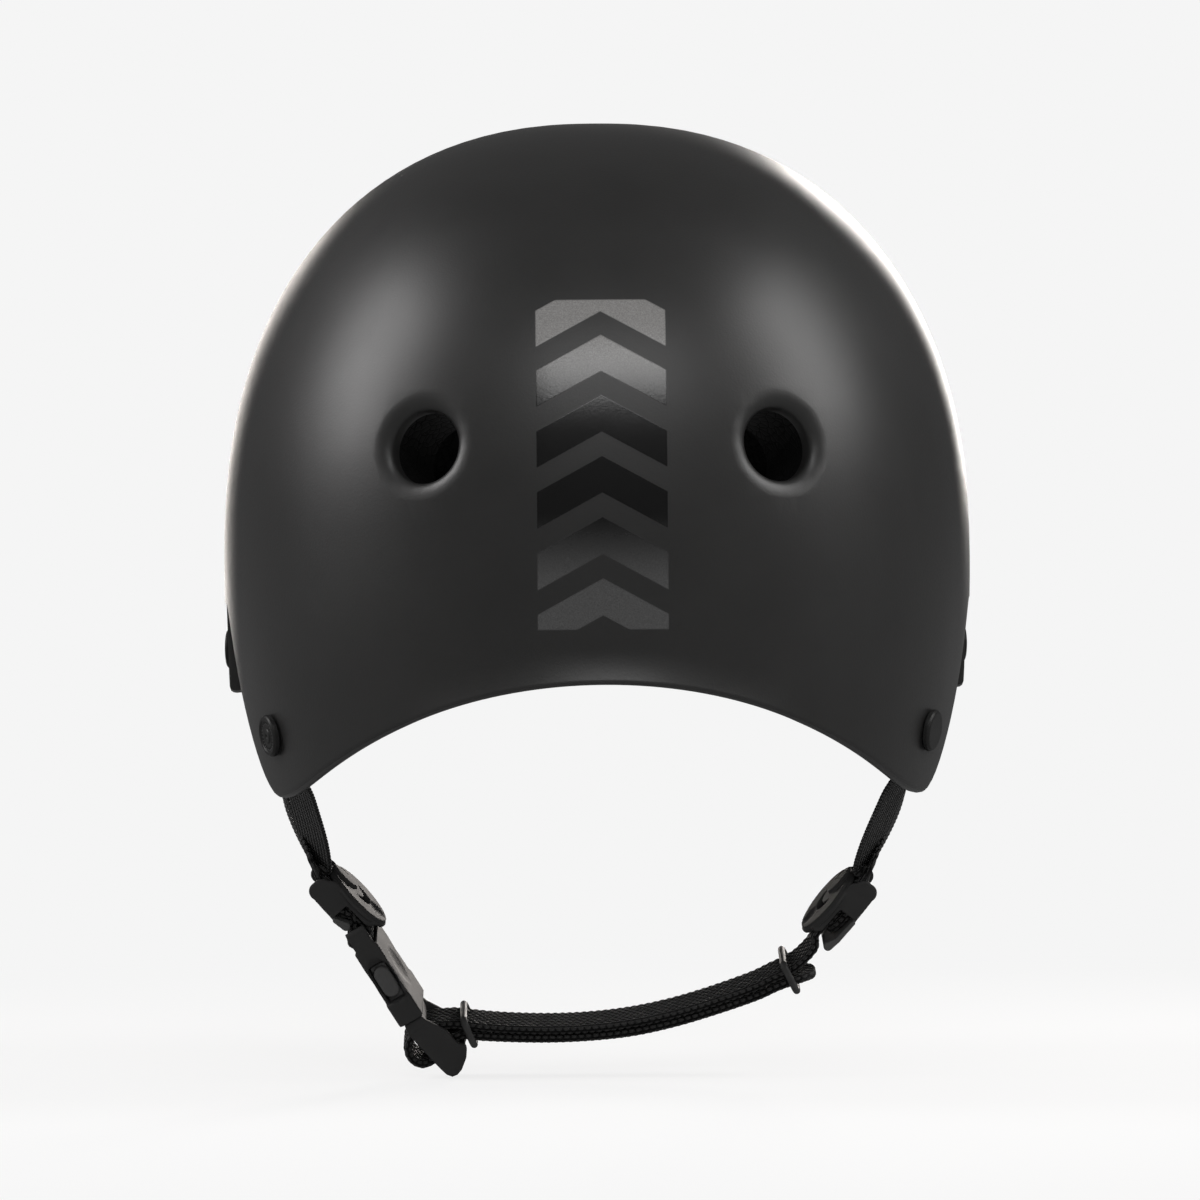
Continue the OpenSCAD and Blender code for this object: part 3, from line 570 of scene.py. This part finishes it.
def domeWall(rows):
    bm = bmesh.new()
    columns = shell["columns"]
    bmesh.ops.create_grid(bm, x_segments=columns, y_segments=len(rows) - 1, size=0.5)
    for vert in bm.verts:
        row = round((vert.co.y + 0.5) * (len(rows) - 1))
        vert.co = rows[row](360 * (vert.co.x + 0.5))
    bmesh.ops.remove_doubles(bm, verts=bm.verts, dist=1e-3)
    bmesh.ops.recalc_face_normals(bm, faces=bm.faces)
    return bm


def onShell(side, az, z):
    # Matrix that stands an upright shape on the shell, its axis along the surface's normal
    spot, normal = shellPoint(az, z), shellNormal(az, z)
    normal.x, spot.x = side * normal.x, side * spot.x
    return Matrix.Translation(spot) @ normal.to_track_quat("Z", "Y").to_matrix().to_4x4()


vents = {
    # azimuth and height of each vent of one half
    "stations": [(20.8, 30.5), (156, 60), (93.5, 123), (146, 113)],
    "bore": 10.1, "dish": 15.4, "dishDeep": 3.0, "lipFrom": 6, "lipTo": 82, "lipSteps": 12,
    "boss": 14.3, "bossFront": -2.8, "bossStep": -4.4, "bossBack": -6.4, "bossNeck": 2.9,
    "toolHigh": 9.0, "lookFrom": 12.0, "steps": 96,
}


def ventPlaces():
    return [onShell(side, *spot) for side in (-1, 1) for spot in vents["stations"]]


def eachVent(makeShape):
    return joined([(makeShape(), place) for place in ventPlaces()])


def ventMouth(skin, place):
    # A bell mouth that follows the shell's own curve, with the bore below it
    bore, dish, deep, high = vents["bore"], vents["dish"], vents["dishDeep"], vents["toolHigh"]
    first, last = math.radians(vents["lipFrom"]), math.radians(vents["lipTo"])
    mouth = []
    for i in range(vents["lipSteps"] + 1):
        t = first + (last - first) * i / vents["lipSteps"]
        share = (math.sin(t) - math.sin(first)) / (math.sin(last) - math.sin(first))
        mouth.append((dish + (bore - dish) * share, 0.03 - deep * (1 - math.cos(t))))
    bm = lathe([(0, high), (dish + 2.5, high), (dish + 1.2, 0.6)] + mouth
               + [(bore, -shell["wall"] - 8), (0, -shell["wall"] - 8)], vents["steps"])
    axis = (place.to_3x3() @ Vector((0, 0, 1))).normalized()
    for vert in bm.verts:
        if -deep - 1 < vert.co.z < 1 and vert.co.xy.length > bore - 0.5:
            start = place @ Vector((vert.co.x, vert.co.y, vents["lookFrom"]))
            hit = skin.ray_cast(start, -axis)[0]
            if hit is not None:
                vert.co.z += vents["lookFrom"] - (hit - start).length
    return bm


def ventBoss():
    inside, front, back = vents["bore"] - 1, vents["bossFront"], vents["bossBack"]
    return lathe([(inside, front), (vents["boss"], front), (vents["boss"], vents["bossStep"]),
                  (vents["bore"] + vents["bossNeck"], back), (inside, back)], vents["steps"], closed=True)


anchors = {"rear": (50, -48.7), "front": (103.5, -25.0), "shank": 5.1, "through": 9.0, "steps": 32}


def anchorHoles():
    radius, far = anchors["shank"] / 2, anchors["through"]
    holes = []
    for side in (-1, 1):
        for spot in (anchors["rear"], anchors["front"]):
            hole = lathe([(0, far), (radius, far), (radius, -far), (0, -far)], anchors["steps"])
            holes.append((hole, onShell(side, *spot)))
    return joined(holes)


def buildShell():
    wall = domeWall(wallRows(0.0, shell["wall"], edgeHeight, shell["rimRound"], shell["rows"]))
    skin = BVHTree.FromBMesh(wall)
    piece = addPiece("shellMoulding", wall, "shell", smooth=False)
    carve(piece, tool(eachVent(ventBoss)), "UNION")
    carve(piece, tool(joined([(ventMouth(skin, place), place) for place in ventPlaces()])))
    carve(piece, tool(anchorHoles()))
    paintOver(piece, "shell")
    smoothShade(piece, shell["smoothBelow"])
    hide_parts("outer_shell")


liner = {"gap": 0.8, "thick": 20.0, "lift": 5.0, "rearDrop": 35.7, "frontDrop": 13.0, "rimRound": 2.5,
         "rows": (22, 10, 7), "wellGap": 0.6, "boreGap": 0.5, "wellSteps": 64, "smoothBelow": 30}


def linerEdge(az):
    a = folded(az)
    return max(edgeHeight(az) + liner["lift"], -liner["rearDrop"] if a < 90 else -liner["frontDrop"])


def buildLiner():
    outer = shell["wall"] + liner["gap"]
    inner = outer + liner["thick"]
    rows = wallRows(outer, inner, linerEdge, liner["rimRound"], liner["rows"])
    piece = addPiece("linerFoam", domeWall(rows), "foam", smooth=False)

    def well():
        # Room for a vent's boss, with the air hole on through the foam
        wide, bore = vents["boss"] + liner["wellGap"], vents["bore"] + liner["boreGap"]
        high, floor, low = vents["bossBack"] + 11, vents["bossBack"] - liner["wellGap"], -inner - 12
        return lathe([(0, high), (wide, high), (wide, floor), (bore, floor), (bore, low), (0, low)],
                     liner["wellSteps"])

    carve(piece, tool(eachVent(well)))
    paintOver(piece, "foam")
    smoothShade(piece, liner["smoothBelow"])
    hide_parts("impact_liner")


buildShell()
buildLiner()
print("helmet: shell and liner built")


# Webbing

harness = {"pivotY": -10.0, "pivotZ": -98.0, "tilt": math.radians(14), "strapDepth": 5.55, "wide": 15.0,
           "sideThick": 1.3, "chinThick": 2.2, "chinLayer": 0.3, "runSteps": 8}
dividers = {-1: (73.2, -96.7, math.radians(43)), 1: (69.3, -99.0, math.radians(40))}
buckle = {"at": (-54.55, -130.5), "lean": math.radians(31)}
acrossHarness = Vector((0, math.cos(harness["tilt"]), math.sin(harness["tilt"])))


def harnessPoint(x, height):
    up = height - harness["pivotZ"]
    c, s = math.cos(harness["tilt"]), math.sin(harness["tilt"])
    return Vector((x, harness["pivotY"] - up * s, harness["pivotZ"] + up * c))


def dividerPoint(side, along, inward):
    x, height, lean = dividers[side]
    s, c = math.sin(lean), math.cos(lean)
    return harnessPoint(side * (x + along * s - inward * c), height + along * c + inward * s)


def bucklePoint(along, inward):
    (x, height), lean = buckle["at"], buckle["lean"]
    s, c = math.sin(lean), math.cos(lean)
    return harnessPoint(x - along * s + inward * c, height + along * c + inward * s)


def smoothRun(points, steps):
    # A smooth run through the points, with its share of the way at each
    run = []
    for i in range(len(points) - 1):
        a, b = points[max(0, i - 1)], points[i]
        c, d = points[i + 1], points[min(len(points) - 1, i + 2)]
        for k in range(steps):
            t = k / steps
            run.append((i + t, (2 * b + (c - a) * t + (2 * a - 5 * b + 4 * c - d) * t * t
                                + (3 * b - a - 3 * c + d) * t ** 3) / 2))
    return run + [(len(points) - 1.0, points[-1].copy())]


def stitchHigh(along, row, shift):
    a = (along + math.floor(row) * shift) % 1.0 - 0.5
    b = row % 1.0 - 0.5
    return (max(0.0, 1 - 4 * a * a) * max(0.0, 1 - 4 * b * b)) ** 0.6


def webSection(wide, thick, count):
    # Points round a strap's rounded section, evenly spaced, each with its outward direction
    flat, bulge = (wide - thick) / 2, thick / 2
    total = 4 * flat + math.tau * bulge
    ring = []
    for k in range(count + 1):
        d, flip = total * (k % count) / count, 1
        if d >= total / 2:
            d, flip = d - total / 2, -1
        if d <= 2 * flat:
            spot, out = (-flat + d, bulge), (0, 1)
        else:
            t = (d - 2 * flat) / bulge
            out = (math.sin(t), math.cos(t))
            spot = (flat + bulge * out[0], bulge * out[1])
        ring.append((flip * spot[0], flip * spot[1], flip * out[0], flip * out[1]))
    return ring


def pathAt(run, lengths, distance):
    # The place along a run at a distance from its start
    i = min(len(lengths) - 2, bisect.bisect_right(lengths, distance) - 1)
    t = (distance - lengths[i]) / (lengths[i + 1] - lengths[i])
    (a, p), (b, q) = run[i], run[i + 1]
    return a + (b - a) * t, p.lerp(q, t)


def drawIn(left, radius, least):
    # How wide a rounded end still is, at a distance from its tip
    share = min(1.0, left / radius + least)
    return (1 - (1 - share) ** 2) ** 0.5


def ribbonRun(run, acrossAt, wide, thick, look, roundEnd):
    # A strap along a run, each stitch of its weave raised
    perStitch, ahead = webLook["perStitch"], 0.7
    samples = look["rows"] * perStitch
    section = webSection(wide, thick, samples)
    lengths = [0.0]
    for (a, p), (b, q) in zip(run, run[1:]):
        lengths.append(lengths[-1] + (q - p).length)
    steps = round(lengths[-1] / look["long"] * perStitch)
    pitch = lengths[-1] / steps
    frames = []
    for i in range(steps + 1):
        share, spot = pathAt(run, lengths, i * pitch)
        before = pathAt(run, lengths, max(0, i * pitch - ahead))[1]
        after = pathAt(run, lengths, min(lengths[-1], i * pitch + ahead))[1]
        along, flat = (after - before).normalized(), acrossAt(share)
        side = (flat - along * flat.dot(along)).normalized()
        up = along.cross(side)
        if roundEnd:
            left = lengths[-1] - i * pitch
            side, up = side * drawIn(left, wide / 2, 0.04), up * drawIn(left, thick / 2, 0.1)
        frames.append((spot, side, up))
    bm = bmesh.new()
    bmesh.ops.create_grid(bm, x_segments=steps, y_segments=samples, size=0.5)
    chart = bm.loops.layers.uv.new("strapMap")
    where = {v: (round((v.co.x + 0.5) * steps), round((v.co.y + 0.5) * samples)) for v in bm.verts}
    for vert, (i, j) in where.items():
        (spot, side, up), (q, h, outQ, outH) = frames[i], section[j]
        high = stitchHigh(i * pitch / look["long"], (j % samples) / perStitch, look["shift"])
        rise = high * look["out"] - (1 - high) * look["sink"]
        vert.co = spot + side * (q + outQ * rise) + up * (h + outH * rise)
    for face in bm.faces:
        for loop in face.loops:
            i, j = where[loop.vert]
            loop[chart].uv = (i * pitch / look["long"], j / perStitch)
    bmesh.ops.remove_doubles(bm, verts=bm.verts, dist=1e-5)
    bmesh.ops.holes_fill(bm, edges=[e for e in bm.edges if e.is_boundary], sides=0)
    bmesh.ops.recalc_face_normals(bm, faces=bm.faces)
    return bm


def ribbon(name, runs, acrossAt, thick, weave, node, roundEnd=False):
    parts = []
    for points in runs:
        run = smoothRun(points, harness["runSteps"])
        parts.append((ribbonRun(run, acrossAt, harness["wide"], thick, webLook[weave], roundEnd), Matrix()))
    piece = addPiece(name, joined(parts), weave + "Web")
    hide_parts(node)


sideStraps = {
    "plateTop": 9.5, "meet": -0.7, "tailUp": 7.5, "leave": 8.0,
    # Shares of the way, in route points, between which a strap turns edge-on, twists and untwists
    "front": {"layer": -0.85, "lead": (5.0, 1.4), "drift": (0.6, 0.8, -2.0), "twist": 0, "turn": (3.8, 6.0)},
    "rear": {"layer": 0.8, "lead": (4.6, 1.4), "drift": (0.0, 0.3, 0.5), "twist": 19, "turn": (4.1, 6.1)},
    "twistIn": (1.5, 3.0), "twistOut": (4.6, 6.0),
}


def buildSideStrap(side, which, name, node):
    look, plateTop = sideStraps[which], sideStraps["plateTop"]
    spot, normal = shellPoint(*anchors[which]), shellNormal(*anchors[which])
    spot.x, normal.x = side * spot.x, side * normal.x
    start = spot - normal * harness["strapDepth"]
    end = dividerPoint(side, plateTop + look["lead"][0], look["layer"] + look["lead"][1])
    flat = end - start
    down = (flat - normal * flat.dot(normal)).normalized()
    turn = start + down * sideStraps["leave"]
    between = [turn, (2 * turn + end) / 3, (turn + 2 * end) / 3]
    for point, drift in zip(between, look["drift"]):
        point.x -= side * drift
    route = [start - down * sideStraps["tailUp"], start] + between + [end]
    route += [dividerPoint(side, a, look["layer"]) for a in (plateTop, plateTop / 2, sideStraps["meet"])]
    first = normal.cross(down)
    if first.dot(acrossHarness) < 0:
        first = -first

    def acrossAt(share):
        t = ease(share, look["turn"])
        twist = look["twist"] * ease(share, sideStraps["twistIn"]) * (1 - ease(share, sideStraps["twistOut"]))
        across = (first * (1 - t) + acrossHarness * t).normalized()
        return Matrix.Rotation(math.radians(side * twist), 3, flat) @ across

    ribbon(name, [route], acrossAt, harness["sideThick"], "side", node)


for side, word in ((-1, "left"), (1, "right")):
    buildSideStrap(side, "front", "frontWebbing_" + word, "front_strap_" + word)
    buildSideStrap(side, "rear", "rearWebbing_" + word, "rear_strap_" + word)

chinRoute = {
    # down and back: x and height; loop and socket: along and inward from the buckle;
    # folds: along and inward from a divider; starts: along it
    "down": [(61.6, -111.2), (57.4, -116), (53.4, -118.6), (49.4, -120.5), (43.9, -123.2), (32.4, -127.4),
             (20.9, -130.9), (9.4, -133.4), (-2, -134.8), (-13.6, -135.3), (-25.2, -135), (-34, -134.3)],
    "loop": [(-9.3, 9.9), (-7.5, 6.7), (-5.9, 3.9), (-5.25, 1.2), (-5.25, -1.6), (-5.9, -4.3), (-8.2, -6.4),
             (-11.4, -6.9), (-14.1, -5.3), (-14.8, -2.4), (-14.3, 0.6), (-13.4, 3.4), (-12.6, 6.4),
             (-12.6, 9.6)],
    "back": [(-36.8, -137), (-25.2, -137.7), (-13.6, -137.9), (-2, -137.4), (9.6, -136.1), (21.3, -133.5),
             (32.9, -130), (44.6, -125.9), (50.6, -123.1), (54.8, -121.5), (58.5, -120.5), (62.3, -120)],
    "socket": [(29.4, 2.75), (27.2, 2.1), (25.6, 1.3), (24.95, 0), (25.2, -1.6), (26.4, -2.85),
               (28.3, -3.05)],
    "foldLeft": [(-4.6, -1.35), (-1.4, -2.6), (2.2, -2.75)],
    "foldRight": [(2.6, -2.8), (-0.6, -2.75), (-5.0, -2.7), (-8.8, -2.3)],
    "startRight": (-1.0, -5.6, -11.2), "startLeft": (-1.0, -3.2),
}


def flatAcross(share):
    return acrossHarness


def buildChinWebbing():
    thick, layer = harness["chinThick"], harness["chinLayer"]
    fold = [dividerPoint(1, *p) for p in chinRoute["foldRight"]]
    route = [dividerPoint(1, along, layer) for along in chinRoute["startRight"]]
    route += [harnessPoint(*p) for p in chinRoute["down"]]
    route += [bucklePoint(*p) for p in chinRoute["loop"]]
    route += [harnessPoint(*p) for p in chinRoute["back"]]
    ribbon("chinWebbing", [fold, route], flatAcross, thick, "chin", "chin_strap", True)
    route = [dividerPoint(-1, along, layer) for along in chinRoute["startLeft"]]
    route += [bucklePoint(*p) for p in chinRoute["socket"]]
    route += [dividerPoint(-1, *p) for p in chinRoute["foldLeft"]]
    ribbon("buckleWebbing", [route], flatAcross, thick, "chin", "buckle_strap")


buildChinWebbing()
print("helmet: webbing built")


# Moulded hardware: the solids' own shapes, filled out and carved, with soft edges

hardware = {
    # node: finish, body, voxel in millimetres, rounds of smoothing
    "divider_base_left": ("hardware", "helmet", 0.26, 14),
    "divider_base_right": ("hardware", "helmet", 0.26, 14),
    # The levers and prong tabs take the paler copy of the hardware plastic, a painted highlight
    "divider_lever_left": ("hardwarePaintedLit", "lever_left", 0.24, 10),
    "divider_lever_right": ("hardwarePaintedLit", "lever_right", 0.24, 10),
    "buckle_socket": ("hardware", "helmet", 0.28, 10), "buckle_plug": ("hardware", "helmet", 0.28, 10),
    "buckle_prong_front": ("hardwarePaintedLit", "prong_front", 0.2, 4),
    "buckle_prong_rear": ("hardwarePaintedLit", "prong_rear", 0.2, 4),
    "strap_rivets_left": ("rivet", "helmet", 0.16, 2), "strap_rivets_right": ("rivet", "helmet", 0.18, 3),
    "strap_keeper_left": ("rubber", "keeper_left", 0.0, 0),
    "strap_keeper_right": ("rubber", "keeper_right", 0.0, 0),
}
# Millimetres along, across and inward from the buckle's or divider's own middle
shapes = {
    # start and end along, near and far across, half height
    "sideWall": (7.3, 19.6, 9.0, 11.5, 3.6), "sideWindow": (7.7, 19.3, 8.9, 14.0, 2.7),
    "prongTrim": (7.9, 19.5, 9.45, 14.0, 3.0),
    "dish": (14.8, 14.0, 0.0), "dishSize": (8.6, 5.0, 4.3),
    # start and end along, half height, and how far the outline draws in at each height across
    "pill": (8.7, 18.6, 2.45), "pillSteps": 48,
    "pillRise": [(8.2, 0.5), (8.6, 0.0), (11.0, 0.0), (11.5, 0.2), (11.85, 0.6), (12.0, 1.3)],
    "cheekAt": [(8.5, -2.5), (8.5, -1.1), (8.3, 0.3)], "cheekRound": 2.75, "cheekThick": 1.2,
    "dividerHalf": 9.2, "keeperGrow": 0.22, "soften": 0.5,
    "prongSides": {"buckle_prong_front": 1, "buckle_prong_rear": -1},
}


def box(x0, x1, y0, y1, half):
    bm = bmesh.new()
    bmesh.ops.create_cube(bm, size=1.0)
    bmesh.ops.scale(bm, vec=(x1 - x0, y1 - y0, 2 * half), verts=bm.verts)
    bmesh.ops.translate(bm, vec=((x0 + x1) / 2, (y0 + y1) / 2, 0), verts=bm.verts)
    return bm


def egg(place, size):
    bm = bmesh.new()
    bmesh.ops.create_uvsphere(bm, u_segments=64, v_segments=32, radius=1.0)
    bmesh.ops.scale(bm, vec=size, verts=bm.verts)
    bmesh.ops.translate(bm, vec=place, verts=bm.verts)
    return bm


def pill(x0, x1, half, rise):
    # A round-ended button whose outline draws in as it rises across
    bm = bmesh.new()
    rings, count = [], shapes["pillSteps"]
    for y, inset in rise:
        r = half - inset
        ring = []
        for k in range(count):
            t = math.tau * k / count
            middle = x1 - half if math.cos(t) > 0 else x0 + half
            ring.append(bm.verts.new((middle + r * math.cos(t), y, r * math.sin(t))))
        rings.append(ring)
    for low, high in zip(rings, rings[1:]):
        for k in range(count):
            bm.faces.new((low[k - 1], low[k], high[k], high[k - 1]))
    bm.faces.new(rings[0])
    bm.faces.new(rings[-1])
    bmesh.ops.recalc_face_normals(bm, faces=bm.faces)
    return bm


def frameOf(pointAt):
    # The matrix from a part's own along, across and inward to the harness
    start = pointAt(0, 0)
    turn = Matrix((pointAt(1, 0) - start, acrossHarness, pointAt(0, 1) - start)).transposed().to_4x4()
    return Matrix.Translation(start) @ turn


def bothSides(makeShape, place):
    mirror = Matrix.Diagonal((1, -1, 1, 1))
    return joined([(makeShape(), place), (makeShape(), place @ mirror)])


def shapeSocket(piece):
    place = frameOf(bucklePoint)
    carve(piece, tool(bothSides(lambda: box(*shapes["sideWall"]), place)), "UNION")
    carve(piece, tool(bothSides(lambda: box(*shapes["sideWindow"]), place)))
    carve(piece, tool(bothSides(lambda: egg(shapes["dish"], shapes["dishSize"]), place)))


def shapeProng(piece, side):
    place = frameOf(bucklePoint) @ Matrix.Diagonal((1, side, 1, 1))
    carve(piece, tool(joined([(box(*shapes["prongTrim"]), place)])))
    carve(piece, tool(joined([(pill(*shapes["pill"], shapes["pillRise"]), place)])), "UNION")


def shapeDivider(piece, side):
    place = frameOf(lambda along, inward: dividerPoint(side, along, inward))
    r, t, out = shapes["cheekRound"], shapes["cheekThick"], shapes["dividerHalf"]
    upright = Matrix.Rotation(math.pi / 2, 4, "X")
    for x, z in shapes["cheekAt"]:
        pair = []
        for s in (-1, 1):
            disc = lathe([(0, -t / 2), (r, -t / 2), (r, t / 2), (0, t / 2)], 40)
            pair.append((disc, place @ Matrix.Translation((x, s * (out - t / 2), z)) @ upright))
        carve(piece, tool(joined(pair)), "UNION")


def buildHardware(node, finish, body, voxel, rounds):
    first, *others = node.split("_")
    bm = solidCopy(node, shapes["keeperGrow"] * mm if finish == "rubber" else 0)
    piece = addPiece(first + "".join(word.title() for word in others), bm, finish, body)
    if node == "buckle_socket":
        shapeSocket(piece)
    elif node.startswith("buckle_prong"):
        shapeProng(piece, shapes["prongSides"][node])
    elif node.startswith("divider_base"):
        shapeDivider(piece, -1 if node.endswith("left") else 1)
    if voxel:
        even = piece.modifiers.new("even", "REMESH")
        even.mode, even.voxel_size, even.use_smooth_shade = "VOXEL", voxel * mm, True
        soft = piece.modifiers.new("soft", "SMOOTH")
        soft.factor, soft.iterations = shapes["soften"], rounds
        settle(piece)
    paintOver(piece, finish)
    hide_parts(node)


for node, (finish, body, voxel, rounds) in hardware.items():
    buildHardware(node, finish, body, voxel, rounds)
for node in ("rivet_washers", "divider_pin_left", "divider_pin_right"):
    paintOver(nodes[node], "steel")
paintOver(nodes["hook_patches"], "hook")
print("helmet: hardware built")


# Comfort pads, puffed by cloth pressure from the solids

# Lengths in metres
pads = {"voxel": 0.0042, "shrink": 0.0009, "cap": 0.0022, "pressure": 4.0, "quality": 4, "frames": 20,
        "fill": 0.6,
        "nodes": {"brow_pad": "padBrow", "nape_pad": "padNape", "crown_pad": "padCrown",
                  "side_pad_left": "padSideLeft", "side_pad_right": "padSideRight"}}


def buildPad(node, name):
    piece = addPiece(name, solidCopy(node, -pads["shrink"]), "pad", smooth=False)
    remesh = piece.modifiers.new("even", "REMESH")
    remesh.mode, remesh.voxel_size = "VOXEL", pads["voxel"]
    settle(piece)
    puff(piece)
    paintOver(piece, "pad")
    for polygon in piece.data.polygons:
        polygon.use_smooth = True
    rounded = piece.modifiers.new("round", "SUBSURF")
    rounded.levels = rounded.render_levels = 1
    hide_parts(node)


def puff(piece):
    start = [v.co.copy() for v in piece.data.vertices]
    cloth = piece.modifiers.new("cloth", "CLOTH")
    cloth.settings.use_pressure = True
    cloth.settings.uniform_pressure_force = pads["pressure"]
    cloth.settings.effector_weights.gravity = 0
    cloth.settings.quality = pads["quality"]
    cloth.point_cache.frame_start, cloth.point_cache.frame_end = 1, pads["frames"]
    for step in range(1, pads["frames"] + 1):
        scene.frame_set(step)
    settle(piece)
    for vert, old in zip(piece.data.vertices, start):
        moved = vert.co - old
        if moved.length > pads["cap"]:
            vert.co = old + moved.normalized() * pads["cap"]


for node, name in pads["nodes"].items():
    buildPad(node, name)
scene.frame_set(1)
print("helmet: pads built")


# Floor, camera and lights

studio = {
    "floorDrop": 0.0006, "floorHalf": 9.0, "pale": 0.913, "floorBody": 0.72, "floorShine": 0.3,
    "airLight": 0.15, "shadowShare": 0.16, "shadowFade": (0.10, 0.60), "aimAt": (0, 0, 0.01),
    "eye": (-0.022, -1.7998, -0.0146), "target": (0.0008, 0.0, -0.0116), "roll": -0.45,
    "distance": 1.8, "frameWide": 0.348, "sensorWide": 36.0, "farthest": 50.0,
    "lamps": [
        # name, place, size, power, colour, mirrored by the object
        ("boxLeft", (-1.42, 0.02, 0.92), (0.80, 1.10), 27.0, (1.0, 0.985, 0.985), True),
        ("boxRight", (1.34, -0.26, 0.98), (0.80, 1.10), 24.0, (1.0, 0.99, 0.985), True),
        ("fillFront", (0.10, -1.90, 0.55), (0.90, 0.60), 22.0, (1.0, 1.0, 1.0), False),
        ("boxFront", (0.10, -1.20, 1.05), (0.90, 0.40), 8.4, (1.0, 1.0, 1.0), True),
        ("rimLeft", (-0.42, 1.65, 0.0), (0.22, 0.90), 7.0, (1.0, 0.93, 0.87), True),
        ("rimRight", (0.42, 1.65, 0.34), (0.22, 0.54), 17.0, (1.0, 0.94, 0.89), True),
    ],
}


def floorPaint():
    # Seen pale by the camera, with a part of the object's shadow kept; darker where gloss mirrors it
    pale = grey(studio["pale"])
    paint = Paint("floorPale", Base_Color=grey(studio["floorBody"]), Roughness=0.8)
    x, y = paint.axes(paint.place())[:2]
    far = paint.step((x * x + y * y) ** 0.5, *studio["shadowFade"])
    rays = paint.node("ShaderNodeLightPath", out="Is Camera Ray")
    glossy = rays.output("Is Glossy Ray")
    seen = rays * (1 - (1 - far) * studio["shadowShare"]) + glossy
    tone = paint.blend(glossy, pale, grey(studio["floorShine"]))
    paint.surface(seen, paint.node("ShaderNodeEmission", sockets={"Color": tone, "Strength": 1.0}))
    return paint.material


def buildFloor():
    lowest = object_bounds()[0][2]
    bm = bmesh.new()
    bmesh.ops.create_grid(bm, x_segments=4, y_segments=4, size=studio["floorHalf"] / mm)
    bmesh.ops.translate(bm, vec=(0, 0, (lowest - studio["floorDrop"]) / mm), verts=bm.verts)
    floor = addPiece("studioFloor", bm, None)
    floor.data.materials.append(floorPaint())


def buildAir():
    pale = grey(studio["pale"])
    scene.world = bpy.data.worlds.new("studioAir")
    air = Paint("studioAir", scene.world, Color=pale, Strength=studio["airLight"])
    seenAir = air.node("ShaderNodeBackground", sockets={"Color": pale})
    air.surface(air.node("ShaderNodeLightPath", out="Is Camera Ray"), seenAir)


def buildLamps():
    for name, place, size, power, colour, mirrored in studio["lamps"]:
        lamp = bpy.data.lights.new(name, "AREA")
        lamp.shape, lamp.size, lamp.size_y = "RECTANGLE", size[0], size[1]
        lamp.energy, lamp.color = power, colour
        holder = bpy.data.objects.new(name, lamp)
        aim = Vector(studio["aimAt"]) - Vector(place)
        holder.matrix_world = Matrix.Translation(place) @ aim.to_track_quat("-Z", "Y").to_matrix().to_4x4()
        holder.visible_camera, holder.visible_glossy = False, mirrored
        scene.collection.objects.link(holder)


def buildCamera():
    lens = bpy.data.cameras.new("photoEye")
    lens.sensor_width = studio["sensorWide"]
    lens.lens = studio["sensorWide"] * studio["distance"] / studio["frameWide"]
    lens.clip_end = studio["farthest"]
    holder = bpy.data.objects.new("photoEye", lens)
    eye, target = Vector(studio["eye"]), Vector(studio["target"])
    turn = (target - eye).to_track_quat("-Z", "Y").to_matrix().to_4x4()
    roll = Matrix.Rotation(math.radians(studio["roll"]), 4, "Z")
    holder.matrix_world = Matrix.Translation(eye) @ turn @ roll
    scene.collection.objects.link(holder)
    scene.camera = holder


buildFloor()
buildAir()
buildLamps()
buildCamera()
scene.view_settings.view_transform = "Standard"
print("helmet: studio ready")
